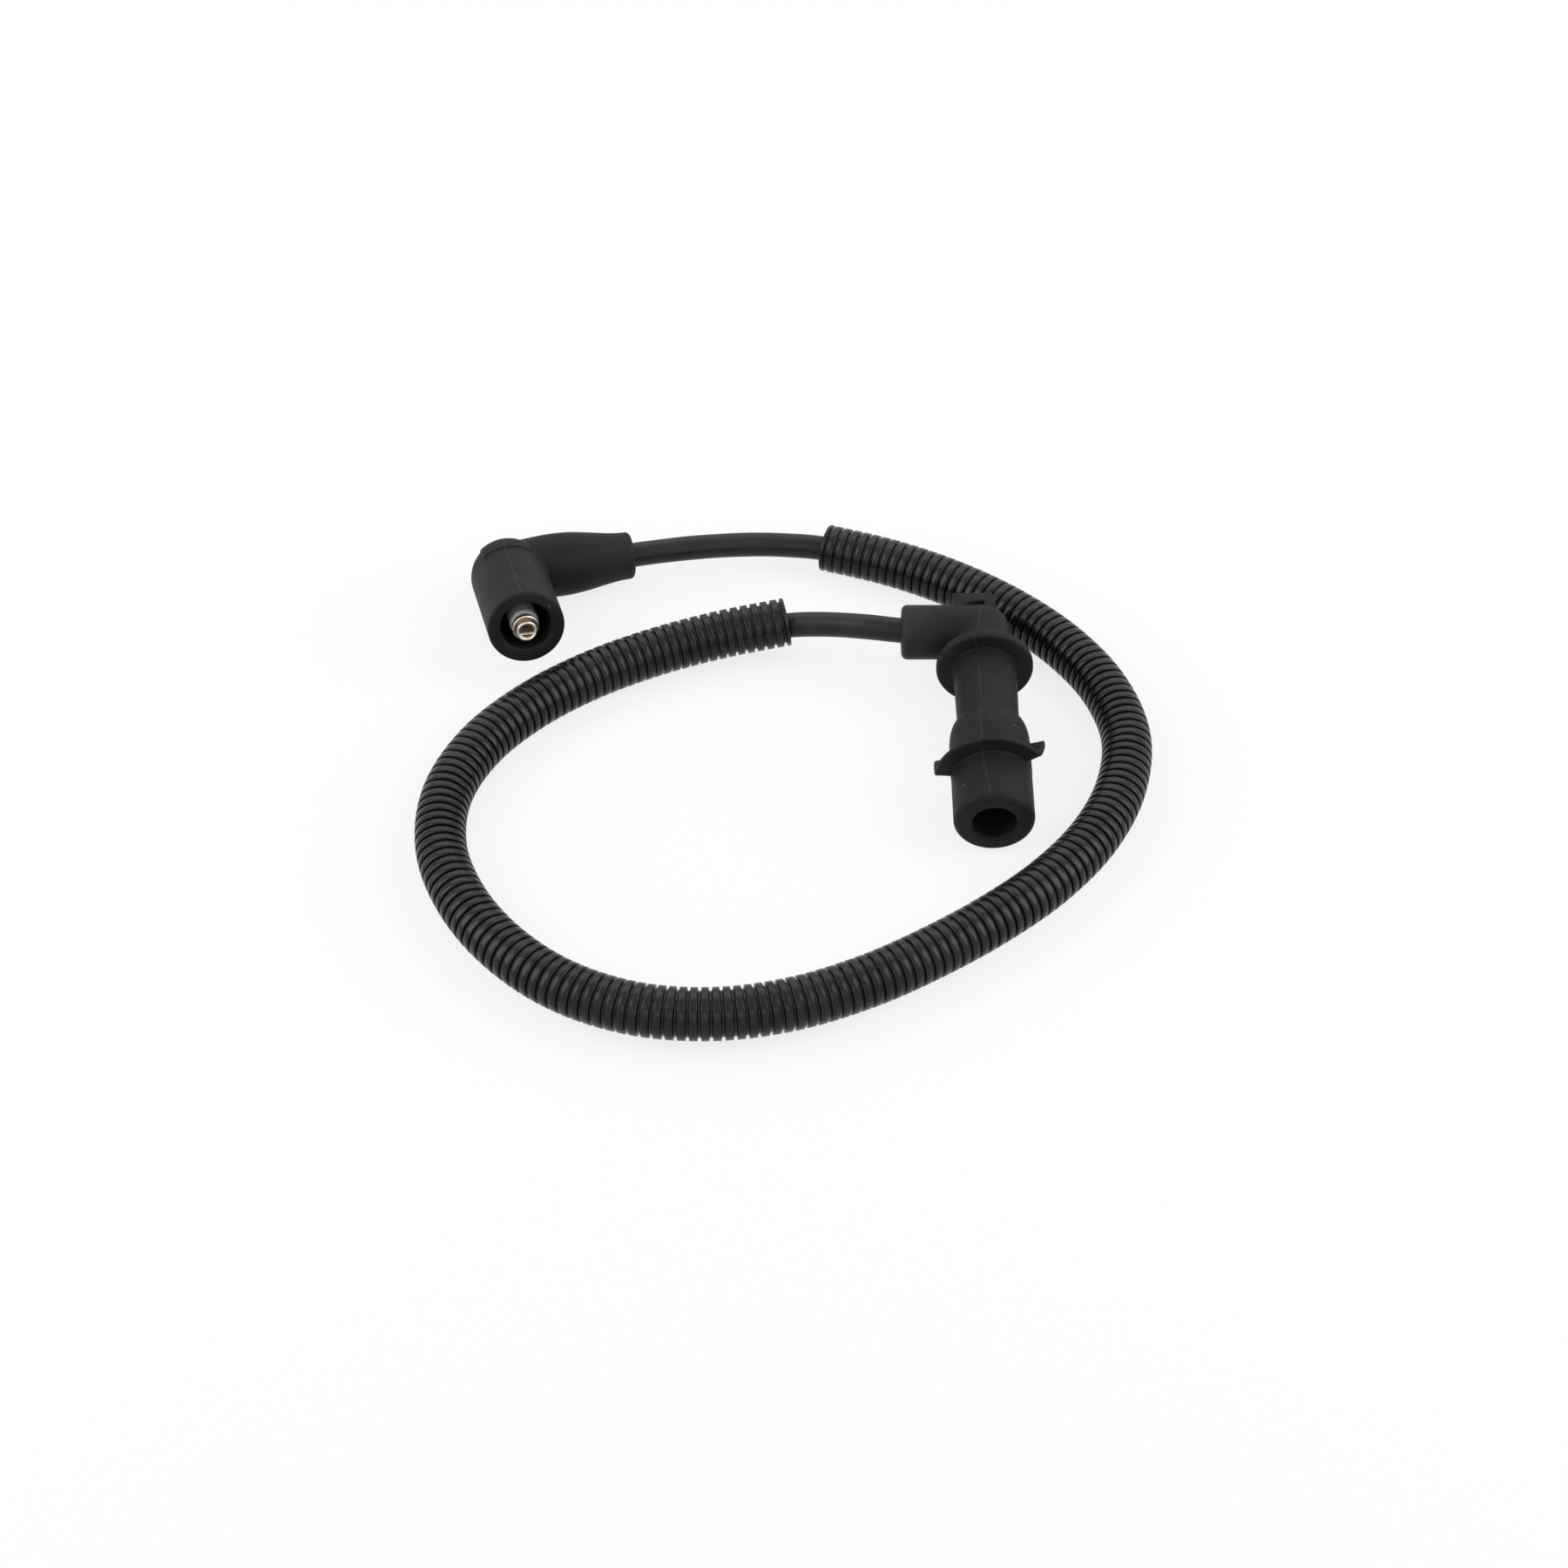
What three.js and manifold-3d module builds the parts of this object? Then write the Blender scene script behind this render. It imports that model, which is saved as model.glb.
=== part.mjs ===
// Ignition lead: a suppressed high-tension cable in a corrugated conduit, with a right-angle
// rubber boot and a right-angle terminal at each end. The lead lies on a bench.
// Millimetres, +Z up, z = 0 is the bench, and the origin lies below the middle of the two boots.
import * as THREE from 'three';
import { mergeVertices } from 'three/addons/utils/BufferGeometryUtils.js';
import Module from 'manifold-3d';

const manifold = await Module();
manifold.setup();

// Clearances
const clearance = 0.3;
const coreClearance = 0.6;

// Cable
const cableDiameter = 7.0;
const coreDiameter = 2.4;
const coreBare = 3.0;
const cableSteps = 80;

// Conduit
const conduitDiameter = 13.5;
const conduitBore = 10.3;
const conduitSteps = 60;

// Terminals, both ends: a socket tube, a bent strap and a crimp barrel round the cable
const crimpWall = 0.5;
const crimpBack = 5.0;
const crimpLength = 8.0;
const strapThickness = 0.8;
const strapOverlap = 3.0;
const strapBend = 3.0;
const wireDiameter = 0.8;

// Where the cable comes out of either boot's arm
const armMouthWiden = 0.6;
const armMouthDepth = 5.0;

// Plug end: boot
const plugElbow = new THREE.Vector3(64.65, 13.6, 13.9);
const plugTilt = 2.65;
const plugLength = 71.0;
const plugArmLength = 22.4;
const plugArmDiameter = 15.1;
const plugArmRound = 1.6;
const plugBarrelDiameter = 21.4;
const plugRimRound = 2.0;
const plugBore = 11.8;
const plugBoreDepth = 54.6;
const rootDiameter = 14.6;
const flangeDiameter = 26.5;
const flangeThickness = 2.8;
const flangeBack = 12.0;
const flangeRound = 0.8;
const neckDiameter = 17.4;
const neckEndDiameter = 16.6;
const neckLength = 21.2;
const shoulderLength = 7.7;
const collarDiameter = 21.6;
const brimFromMouth = 16.1;
const brimDiameter = 30.2;
const brimThickness = 1.4;
const brimSpan = 92;
const brimCorner = 7;
const earSpan = 28;
const earAngle = 94;
const earSweep = 8.8;
const seamRoll = 15.5;
const webThickness = 2.6;
const webHalfWidth = 6.0;
const webBackX = -8.2;
const webCornerX = 3.0;
const webFlangeX = 6.2;
const webBackY = 9.5;
const webFootY = 4.5;

// Plug end: terminal
const plugSocketDiameter = 8.2;
const plugSocketWall = 0.6;
const plugSocketBack = 3.5;
const plugSocketProud = 5.6;
const plugStrapWidth = 5.0;
const plugRingFromTip = 3.0;
const plugRingTurn = 300;
const ringMiddle = 90;

// Coil end: boot
const coilElbow = new THREE.Vector3(-69.05, 43.2, 10.5);
const coilYaw = 13.4;
const coilPitch = 1.7;
const coilRoll = -14.0;
const coilLength = 35.5;
const coilBarrelDiameter = 21.3;
const coilRimRound = 0.8;
const coilBore = 14.2;
const coilBoreDepth = 22.5;
const coilLipBore = 15.4;
const coilLipDepth = 1.2;
const coilArmLength = 36.3;
const coilArmEndDiameter = 13.5;
const coilArmRound = 1.5;
const coilArmWaist = [[3, 16.6], [9, 17.6], [15, 18.0], [20, 17.5], [25, 15.9], [30, 14.2]];
const domeForward = 4.0;
const coilArmRoot = 16.4;
const padProud = 0.5;
const padHalfWidth = 6.9;
const padFront = 6.3;

// Coil end: terminal
const coilSocketDiameter = 5.6;
const coilSocketWall = 0.6;
const coilSocketBack = 4.0;
const coilSocketInset = 0.4;
const coilStrapWidth = 3.2;
const tubeDroop = 2.5;
const tubeYaw = 0.2;
const tonguePlate = 0.6;
const tongueDrop = 1.3;
const tongueLength = 4.0;
const tongueInset = 1.5;
const sleeveDiameter = 8.1;
const sleeveFromTip = 4.6;
const sleeveChamfer = 0.6;
const coilRingFromTip = 2.4;
const coilRingTurn = 470;
const coilRingLead = 0.9;

// The cable's route from the coil terminal's crimp to the plug terminal's crimp. The conduit lies on
// the bench, and a third number is how far the cable in it lifts it there.
const coilLeadIn = [
  [-63.2, 44.6, 10.3], [-34.0, 51.5, 9.4], [-30.1, 52.5, 9.3],
  [-15.3, 55.8, 8.7], [-0.3, 58.1, 7.8], [10.9, 58.6, 7.1],
];
const conduitRoute = [
  [22.0, 58.0], [40.6, 51.2], [58.1, 42.0], [74.0, 30.2], [87.6, 15.8], [97.6, -1.3],
  [102.1, -20.6], [99.2, -40.1], [90.8, -58.1], [78.5, -73.6], [63.7, -86.8], [47.5, -98.3],
  [30.4, -108.2], [12.0, -115.5], [-7.5, -118.8], [-27.2, -117.0], [-45.5, -109.5], [-60.8, -97.0],
  [-72.4, -81.0], [-79.3, -62.5], [-79.4, -42.8], [-72.2, -24.4], [-59.7, -9.0], [-44.2, 3.3],
  [-26.9, 12.7, 0.2], [-8.5, 19.0, 1.2], [10.5, 22.6, 3.0],
];
const plugLeadOut = [
  [10.5, 21.6, 9.2], [22.2, 19.5, 11.5], [33.2, 16.1, 13.6], [40.2, 14.4, 14.1],
  [47.7, 13.6, 13.9], [58.7, 13.6, 13.9],
];
const conduitHeight = conduitDiameter / 2;
const cableSag = 1.0;

// Facets
const outerSides = 28;
const innerSides = 20;
const cordSides = 12;
const coreSides = 8;
const wireSides = 6;
const plugRingSteps = 20;
const coilRingSteps = 26;

// Materials
const rubber = { color: 0x262524, roughness: 0.75, metalness: 0 };
const materials = {
  boot: new THREE.MeshStandardMaterial(rubber),
  jacket: new THREE.MeshStandardMaterial({ ...rubber, color: 0x2a2928, roughness: 0.5 }),
  core: new THREE.MeshStandardMaterial({ ...rubber, color: 0x1b1b1c, roughness: 0.85 }),
  conduit: new THREE.MeshStandardMaterial({ ...rubber, color: 0x1b1919, roughness: 0.42 }),
  sleeve: new THREE.MeshStandardMaterial({ color: 0xc9c9c4, roughness: 0.4, metalness: 0 }),
  terminal: new THREE.MeshStandardMaterial({ color: 0xd4cfc4, roughness: 0.22, metalness: 1 }),
};

const radians = THREE.MathUtils.degToRad;

// Solids

function weld(geometry) {
  const bare = geometry.clone();
  bare.deleteAttribute('normal');
  bare.deleteAttribute('uv');
  const merged = mergeVertices(bare, 1e-4);
  const index = merged.index.array;
  const kept = [];
  for (let i = 0; i < index.length; i += 3) {
    const [a, b, c] = [index[i], index[i + 1], index[i + 2]];
    if (a !== b && b !== c && c !== a) kept.push(a, b, c);
  }
  return facingOut(merged.getAttribute('position').array, kept);
}

function facingOut(positions, triangles) {
  const corner = (i) => new THREE.Vector3().fromArray(positions, 3 * i);
  let volume = 0;
  for (let i = 0; i < triangles.length; i += 3) {
    const [a, b, c] = [0, 1, 2].map((k) => corner(triangles[i + k]));
    volume += a.dot(b.cross(c));
  }
  if (volume < 0) {
    for (let i = 0; i < triangles.length; i += 3) {
      [triangles[i], triangles[i + 1]] = [triangles[i + 1], triangles[i]];
    }
  }
  return { positions, triangles };
}

function toSolid(geometry) {
  const { positions, triangles } = weld(geometry);
  const mesh = new manifold.Mesh({
    numProp: 3,
    vertProperties: new Float32Array(positions),
    triVerts: new Uint32Array(triangles),
  });
  return new manifold.Manifold(mesh);
}

function join(geometries) {
  return geometries.map(toSolid).reduce((whole, solid) => whole.add(solid));
}

function toGeometry(solid) {
  const mesh = solid.getMesh();
  const geometry = new THREE.BufferGeometry();
  geometry.setAttribute('position', new THREE.BufferAttribute(mesh.vertProperties, 3));
  geometry.setIndex(new THREE.BufferAttribute(mesh.triVerts, 1));
  geometry.computeVertexNormals();
  return geometry;
}

function piece(name, geometry, material) {
  const mesh = new THREE.Mesh(geometry, material);
  mesh.name = name;
  return mesh;
}

// Shapes that both ends share. A boot's barrel runs from its elbow along -Y, and `along` gives
// places down the barrel as distances from the elbow.

function revolve(profile, sides) {
  const points = profile.map(([radius, along]) => new THREE.Vector2(radius, -along));
  return new THREE.LatheGeometry(points, sides);
}

// The arm runs along +X where side is 1 and along -X where side is -1.
function revolveArm(profile, sides, side) {
  return revolve(profile, sides).rotateZ(side * Math.PI / 2);
}

function quarterRound(radius, along, round, steps, turn = 1) {
  const points = [];
  for (let i = 0; i <= steps; i++) {
    const angle = (i / steps) * Math.PI / 2;
    const drop = round * (1 - Math.cos(angle));
    const run = round * Math.sin(angle);
    points.push(turn > 0 ? [radius - drop, along - round + run] : [radius - round + run, along + drop]);
  }
  return points;
}

function rod(radius, from, to) {
  return [[0, from], [radius, from], [radius, to], [0, to]];
}

function pipe(outer, inner, from, to) {
  return [[inner, from], [outer, from], [outer, to], [inner, to], [inner, from]];
}

function circle(radius, sides) {
  const shape = new THREE.Shape();
  for (let i = 0; i < sides; i++) {
    const angle = (i / sides) * Math.PI * 2;
    const [x, y] = [radius * Math.cos(angle), radius * Math.sin(angle)];
    if (i === 0) shape.moveTo(x, y);
    else shape.lineTo(x, y);
  }
  shape.closePath();
  return shape;
}

function sweep(shape, path, steps) {
  return new THREE.ExtrudeGeometry(shape, { extrudePath: path, steps, bevelEnabled: false });
}

function slab(shape, halfWidth) {
  const geometry = new THREE.ExtrudeGeometry(shape, { depth: 2 * halfWidth, bevelEnabled: false });
  return geometry.translate(0, 0, -halfWidth);
}

// Open turn of spring wire round a socket
class WireTurn extends THREE.Curve {
  constructor(radius, along, turn, lead, start) {
    super();
    Object.assign(this, { radius, along, turn, lead, start });
  }

  getPoint(t, target = new THREE.Vector3()) {
    const angle = radians(this.start + this.turn * t);
    const y = -this.along - this.lead * (t - 0.5);
    return target.set(this.radius * Math.cos(angle), y, this.radius * Math.sin(angle));
  }
}

const cableRadius = cableDiameter / 2;
const crimpInner = cableRadius + clearance;
const crimpOuter = crimpInner + crimpWall;
const strapRadius = crimpInner + strapThickness;
const crimpEnd = crimpBack + crimpLength;

// Bent strap that joins the socket to the crimp round the outside of the elbow, clear of the cable
function strap(socketRadius, width, socketBack, side, grow = 0) {
  const a = socketRadius + grow;
  const b = strapRadius + grow;
  const thickness = strapThickness + 2 * grow;
  const bend = strapBend + grow;
  const low = -socketBack - strapOverlap - grow;
  const end = crimpBack + strapOverlap + grow;
  const shape = new THREE.Shape();
  shape.moveTo(-a, low);
  shape.lineTo(-a, b - bend);
  shape.absarc(-a + bend, b - bend, bend, Math.PI, Math.PI / 2, true);
  shape.lineTo(end, b);
  shape.lineTo(end, b - thickness);
  shape.lineTo(-a + bend, b - thickness);
  shape.absarc(-a + bend, b - bend, bend - thickness, Math.PI / 2, Math.PI, false);
  shape.lineTo(-a + thickness, low);
  shape.closePath();
  const geometry = new THREE.ExtrudeGeometry(shape, {
    depth: width + 2 * grow,
    bevelEnabled: false,
    curveSegments: 4,
  });
  return geometry.translate(0, 0, -width / 2 - grow).scale(side, 1, 1);
}

// Bore for the cable, widened a little where it comes out of the arm
function cableBore(armLength, side) {
  const radius = cableRadius + clearance;
  const mouth = radius + armMouthWiden;
  const profile = [
    [0, 0],
    [radius, 0],
    [radius, armLength - armMouthDepth],
    [mouth, armLength],
    [mouth, armLength + 1],
    [0, armLength + 1],
  ];
  return revolveArm(profile, innerSides, side);
}

function terminalSeat(socketRadius, width, socketBack, side, tilt = (geometry) => geometry) {
  const seatRadius = socketRadius + clearance;
  const seatEnd = socketBack + strapOverlap + 2 * clearance;
  const crimpSeat = crimpOuter + clearance;
  return [
    tilt(revolve(rod(seatRadius, -seatRadius, seatEnd), innerSides)),
    revolveArm(rod(crimpSeat, -seatRadius, crimpEnd + clearance), innerSides, side),
    strap(socketRadius, width, socketBack, side, clearance),
  ];
}

// Plug end

const neckStart = flangeBack + flangeThickness;
const neckEnd = neckStart + neckLength;
const shoulderEnd = neckEnd + shoulderLength;
const brimFront = plugLength - brimFromMouth;
const plugBoreStart = plugLength - plugBoreDepth;
const plugSocketRadius = plugSocketDiameter / 2;

// The socket stands proud of the bore's floor, so that the plug's nut reaches it
const plugSocketTip = plugBoreStart + plugSocketProud;

function plugBarrel() {
  const neckFoot = neckEndDiameter / 2;
  const shoulderRise = (collarDiameter - neckEndDiameter) / 2;
  const profile = [
    [0, 0],
    [rootDiameter / 2, 0],
    [neckDiameter / 2, flangeBack],
    ...quarterRound(flangeDiameter / 2, flangeBack, flangeRound, 2, -1),
    ...quarterRound(flangeDiameter / 2, neckStart, flangeRound, 2),
    [neckDiameter / 2, neckStart],
    [neckFoot, neckEnd],
  ];
  for (let i = 1; i <= 4; i++) {
    const angle = (i / 4) * Math.PI / 2;
    const along = shoulderEnd - shoulderLength * Math.cos(angle);
    profile.push([neckFoot + shoulderRise * Math.sin(angle), along]);
  }
  profile.push(
    [collarDiameter / 2, brimFront - brimThickness],
    [plugBarrelDiameter / 2, brimFront],
    ...quarterRound(plugBarrelDiameter / 2, plugLength, plugRimRound, 3),
    [0, plugLength],
  );
  return revolve(profile, outerSides);
}

function plugArm() {
  const radius = plugArmDiameter / 2;
  const profile = [
    [0, 0],
    [radius, 0],
    ...quarterRound(radius, plugArmLength, plugArmRound, 3),
    [0, plugArmLength],
  ];
  return revolveArm(profile, outerSides, -1);
}

// Squared web round the outside of the elbow, down to the flange
function elbowWeb() {
  const shape = new THREE.Shape();
  shape.moveTo(webBackX, webBackY);
  shape.lineTo(webCornerX, webBackY);
  shape.lineTo(webFlangeX, -flangeBack);
  shape.lineTo(webFlangeX - webThickness, -flangeBack);
  shape.lineTo(webCornerX - webThickness, webBackY - webThickness);
  shape.lineTo(webBackX, webFootY);
  shape.closePath();
  return slab(shape, webHalfWidth);
}

// Grip brim over the top of the barrel: its two ears sweep back from the mouth, and the sheet keeps
// its thickness where it is steep
function gripBrim() {
  const inner = plugBarrelDiameter / 2 - plugRimRound / 2;
  const outer = brimDiameter / 2;
  const middle = brimThickness / 2 - brimFront;
  const steps = 46;
  const at = (radius, angle) => [radius * Math.sin(radians(angle)), radius * Math.cos(radians(angle))];
  const shape = new THREE.Shape();
  shape.moveTo(...at(inner, -brimSpan));
  for (let i = 0; i <= steps; i++) {
    const angle = brimSpan * (2 * i / steps - 1);
    const past = Math.max(0, (Math.abs(angle) - brimSpan + brimCorner) / brimCorner);
    const round = Math.sqrt(Math.max(0, 1 - past * past));
    const radius = plugBarrelDiameter / 2 + (outer - plugBarrelDiameter / 2) * round;
    shape.lineTo(...at(radius, angle));
  }
  for (let i = steps; i > 0; i--) shape.lineTo(...at(inner, brimSpan * (2 * i / steps - 1)));
  shape.closePath();
  const geometry = new THREE.ExtrudeGeometry(shape, { depth: brimThickness, bevelEnabled: false });
  geometry.rotateX(Math.PI / 2).translate(0, brimThickness - brimFront, 0);
  const place = geometry.getAttribute('position');
  for (let i = 0; i < place.count; i++) {
    const angle = Math.abs(THREE.MathUtils.radToDeg(Math.atan2(place.getX(i), place.getZ(i))));
    const share = THREE.MathUtils.clamp((angle - earAngle + earSpan) / earSpan, 0, 1);
    const swept = earSweep * share * share * (3 - 2 * share);
    const slope = earSweep * 6 * share * (1 - share) / (radians(earSpan) * (inner + outer) / 2);
    place.setY(i, middle + (place.getY(i) - middle) * Math.hypot(1, slope) + swept);
  }
  return geometry.rotateY(radians(-seamRoll));
}

function plugBoot() {
  const elbowDome = new THREE.SphereGeometry(plugArmDiameter / 2, outerSides, outerSides / 2);
  const body = join([plugBarrel(), plugArm(), elbowDome, elbowWeb(), gripBrim()]);
  const hollow = join([
    revolve(rod(plugBore / 2, plugBoreStart, plugLength + 1), outerSides),
    revolve(rod(plugSocketRadius + clearance, 0, plugBoreStart + 1), innerSides),
    cableBore(plugArmLength, -1),
    ...terminalSeat(plugSocketRadius, plugStrapWidth, plugSocketBack, -1),
  ]);
  return toGeometry(body.subtract(hollow));
}

function plugTerminal() {
  const inner = plugSocketRadius - plugSocketWall;
  return toGeometry(join([
    revolve(pipe(plugSocketRadius, inner, plugSocketBack, plugSocketTip), innerSides),
    revolveArm(pipe(crimpOuter, crimpInner, crimpBack, crimpEnd), innerSides, -1),
    strap(plugSocketRadius, plugStrapWidth, plugSocketBack, -1),
  ]).subtract(toSolid(revolve(rod(inner, plugSocketBack - 1, plugSocketTip + 1), innerSides))));
}

function wireRing(socketRadius, along, turn, lead, steps) {
  const radius = socketRadius + clearance + wireDiameter / 2;
  const start = ringMiddle - turn / 2;
  const path = new WireTurn(radius, along, turn, lead, start);
  return sweep(circle(wireDiameter / 2, wireSides), path, steps);
}

// Coil end

const coilSocketRadius = coilSocketDiameter / 2;
const coilSocketTip = coilLength - coilSocketInset;
const sleeveBack = coilSocketBack + strapOverlap + 2 * clearance;
const sleeveTip = coilSocketTip - sleeveFromTip;

// The contact's tube, ring and sleeve lean a little in the soft boot
function leaned(geometry) {
  return geometry.rotateX(radians(tubeDroop)).rotateZ(radians(tubeYaw));
}

function ball(radius, along) {
  const geometry = new THREE.SphereGeometry(radius, outerSides, outerSides / 2);
  return geometry.rotateX(Math.PI / 2).translate(0, -along, 0);
}

// Low pad that wraps the back of the elbow like a strip, from above to below
function elbowPad(radius) {
  const depth = padFront - domeForward + radius;
  const strip = new THREE.BoxGeometry(2 * padHalfWidth, depth, 2 * radius);
  strip.translate(0, depth / 2 - padFront, 0);
  const front = revolve(rod(radius, domeForward, padFront), outerSides);
  return join([ball(radius, domeForward), front]).intersect(toSolid(strip));
}

function coilBoot() {
  const radius = coilBarrelDiameter / 2;
  const barrel = [
    [0, domeForward],
    [radius, domeForward],
    ...quarterRound(radius, coilLength, coilRimRound, 3),
    [0, coilLength],
  ];
  const arm = [
    [0, 0],
    [coilArmRoot / 2, 0],
    ...coilArmWaist.map(([along, diameter]) => [diameter / 2, along]),
    ...quarterRound(coilArmEndDiameter / 2, coilArmLength, coilArmRound, 3),
    [0, coilArmLength],
  ];
  const body = join([
    revolve(barrel, outerSides),
    revolveArm(arm, outerSides, 1),
    ball(coilArmRoot / 2, 0),
    ball(radius, domeForward),
  ]).add(elbowPad(radius + padProud));
  const boreStart = coilLength - coilBoreDepth;
  const sleeveSeat = rod(sleeveDiameter / 2 + clearance, sleeveBack - clearance, boreStart + 1);
  const hollow = join([
    revolve(rod(coilBore / 2, boreStart, coilLength + 1), outerSides),
    revolve(rod(coilLipBore / 2, coilLength - coilLipDepth, coilLength + 1), outerSides),
    leaned(revolve(sleeveSeat, innerSides)),
    cableBore(coilArmLength, 1),
    ...terminalSeat(coilSocketRadius, coilStrapWidth, coilSocketBack, 1, leaned),
  ]);
  return toGeometry(body.subtract(hollow));
}

function coilTerminal() {
  const inner = coilSocketRadius - coilSocketWall;
  const rim = coilSocketTip;
  const tube = [
    [inner, coilSocketBack], [coilSocketRadius, coilSocketBack],
    ...quarterRound(coilSocketRadius, rim, coilSocketWall / 2, 2),
    [inner, rim - coilSocketWall / 2], [inner, coilSocketBack],
  ];
  const tongueEnd = rim - tongueInset;
  const tongue = new THREE.BoxGeometry(2 * inner, tongueLength, tonguePlate)
    .translate(0, tongueLength / 2 - tongueEnd, -tongueDrop);
  const strapPiece = toSolid(strap(coilSocketRadius, coilStrapWidth, coilSocketBack, 1));
  const socketHollow = toSolid(leaned(revolve(rod(inner, coilSocketBack - 1, rim + 1), innerSides)));
  return toGeometry(join([
    leaned(revolve(tube, innerSides)),
    revolveArm(pipe(crimpOuter, crimpInner, crimpBack, crimpEnd), innerSides, 1),
    leaned(tongue),
  ]).add(strapPiece.subtract(socketHollow)));
}

function coilSleeve() {
  const outer = sleeveDiameter / 2;
  const inner = coilSocketRadius + clearance;
  const profile = [
    [inner, sleeveBack], [outer, sleeveBack], [outer, sleeveTip - sleeveChamfer],
    [outer - sleeveChamfer, sleeveTip], [inner, sleeveTip], [inner, sleeveBack],
  ];
  return toGeometry(toSolid(leaned(revolve(profile, innerSides))));
}

// Cord

function route(points) {
  const places = points.map((p) => new THREE.Vector3(...p));
  return new THREE.CatmullRomCurve3(places, false, 'centripetal');
}

const cablePoints = [
  ...coilLeadIn,
  [conduitRoute[0][0], conduitRoute[0][1], conduitHeight - cableSag / 2],
  ...conduitRoute.slice(1, -1).map(([x, y, lift = 0]) => [x, y, conduitHeight + lift - cableSag]),
  ...plugLeadOut,
];

function extended(points, length) {
  const past = (end, next) => {
    const tip = new THREE.Vector3(...end);
    const away = tip.clone().sub(new THREE.Vector3(...next)).setLength(length);
    return tip.add(away).toArray();
  };
  return [past(points[0], points[1]), ...points, past(points.at(-1), points.at(-2))];
}

function tube(outer, bore, sides, boreSides) {
  const shape = circle(outer / 2, sides);
  shape.holes.push(circle(bore / 2, boreSides));
  return shape;
}

const conduitPath = route(conduitRoute.map(([x, y, lift = 0]) => [x, y, conduitHeight + lift]));

// Assembly

const plugEnd = new THREE.Group();
plugEnd.position.copy(plugElbow);
plugEnd.rotation.x = radians(plugTilt);
const plugRingAlong = plugSocketTip - plugRingFromTip;
const plugRing = wireRing(plugSocketRadius, plugRingAlong, plugRingTurn, 0, plugRingSteps);
plugEnd.add(
  piece('plug_boot', plugBoot(), materials.boot),
  piece('plug_terminal', plugTerminal(), materials.terminal),
  piece('plug_snap_ring', plugRing, materials.terminal),
);

const coilEnd = new THREE.Group();
coilEnd.position.copy(coilElbow);
coilEnd.rotation.set(radians(coilRoll), radians(coilPitch), radians(coilYaw), 'ZYX');
const coilRingAlong = coilSocketTip - coilRingFromTip;
const coilRing = leaned(wireRing(coilSocketRadius, coilRingAlong, coilRingTurn, coilRingLead, coilRingSteps));
coilEnd.add(
  piece('coil_boot', coilBoot(), materials.boot),
  piece('coil_terminal', coilTerminal(), materials.terminal),
  piece('coil_snap_ring', coilRing, materials.terminal),
  piece('coil_terminal_sleeve', coilSleeve(), materials.sleeve),
);

const coreBore = coreDiameter + 2 * coreClearance;
const cablePath = route(cablePoints);
const corePath = route(extended(cablePoints, coreBare));
const jacketShape = tube(cableDiameter, coreBore, cordSides, coreSides);
const coreShape = circle(coreDiameter / 2, coreSides);
const conduitShape = tube(conduitDiameter, conduitBore, cordSides, cordSides);
const lead = new THREE.Group();
lead.add(
  coilEnd,
  plugEnd,
  piece('cable_jacket', sweep(jacketShape, cablePath, cableSteps), materials.jacket),
  piece('cable_core', sweep(coreShape, corePath, cableSteps), materials.core),
  piece('conduit', sweep(conduitShape, conduitPath, conduitSteps), materials.conduit),
);

export default lead;
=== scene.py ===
# %% [markdown]
# # An ignition lead on a white bench
#
# The lead is a 7 mm cable inside a corrugated conduit, with a right-angle rubber boot at each end.
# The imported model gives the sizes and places, and this script gives the looks: smooth mouldings
# with soft edges, ribs on the conduit, bright metal in the coil boot, and a soft white studio.

# %% Load the frame
import math

import bpy
import numpy as np
from mathutils import Euler, Matrix, Vector


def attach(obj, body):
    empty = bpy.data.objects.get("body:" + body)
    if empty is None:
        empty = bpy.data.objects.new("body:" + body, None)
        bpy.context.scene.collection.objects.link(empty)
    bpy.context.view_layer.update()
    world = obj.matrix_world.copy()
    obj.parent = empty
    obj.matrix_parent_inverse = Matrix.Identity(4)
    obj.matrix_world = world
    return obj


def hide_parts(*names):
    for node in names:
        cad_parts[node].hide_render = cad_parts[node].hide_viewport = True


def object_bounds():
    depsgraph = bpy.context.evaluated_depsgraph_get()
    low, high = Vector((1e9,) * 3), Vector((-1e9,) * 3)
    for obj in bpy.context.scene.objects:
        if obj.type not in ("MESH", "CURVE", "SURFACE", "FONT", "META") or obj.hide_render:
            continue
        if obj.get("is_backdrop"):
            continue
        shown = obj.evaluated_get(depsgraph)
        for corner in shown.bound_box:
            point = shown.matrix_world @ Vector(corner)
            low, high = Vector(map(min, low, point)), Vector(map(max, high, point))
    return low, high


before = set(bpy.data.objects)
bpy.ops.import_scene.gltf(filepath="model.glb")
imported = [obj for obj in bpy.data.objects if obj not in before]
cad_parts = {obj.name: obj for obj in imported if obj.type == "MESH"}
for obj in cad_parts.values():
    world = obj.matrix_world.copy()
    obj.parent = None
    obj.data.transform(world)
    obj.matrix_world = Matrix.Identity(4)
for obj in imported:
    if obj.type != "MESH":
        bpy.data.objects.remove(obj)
cad_box = [list(corner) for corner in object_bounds()]
mm = 0.001
print("nodes:", ", ".join(sorted(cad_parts)))

# %% [markdown]
# ## The camera
#
# A product photographer stands back and looks down, so that a flat loop reads as a loop. The view
# is level and 45 degrees down, from 0.79 m, with a long lens. The camera is made first because the
# cords are judged from it: what it can't see has to stay small.

# %% Camera at the photograph's angle
CAMERA_PLACE = Vector((9.8, -593.6, 561.75)) * mm
CAMERA_DOWN = 45
SENSOR = 36.0
FOCAL_PX = 3390
PHOTO_PX = 1800

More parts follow.
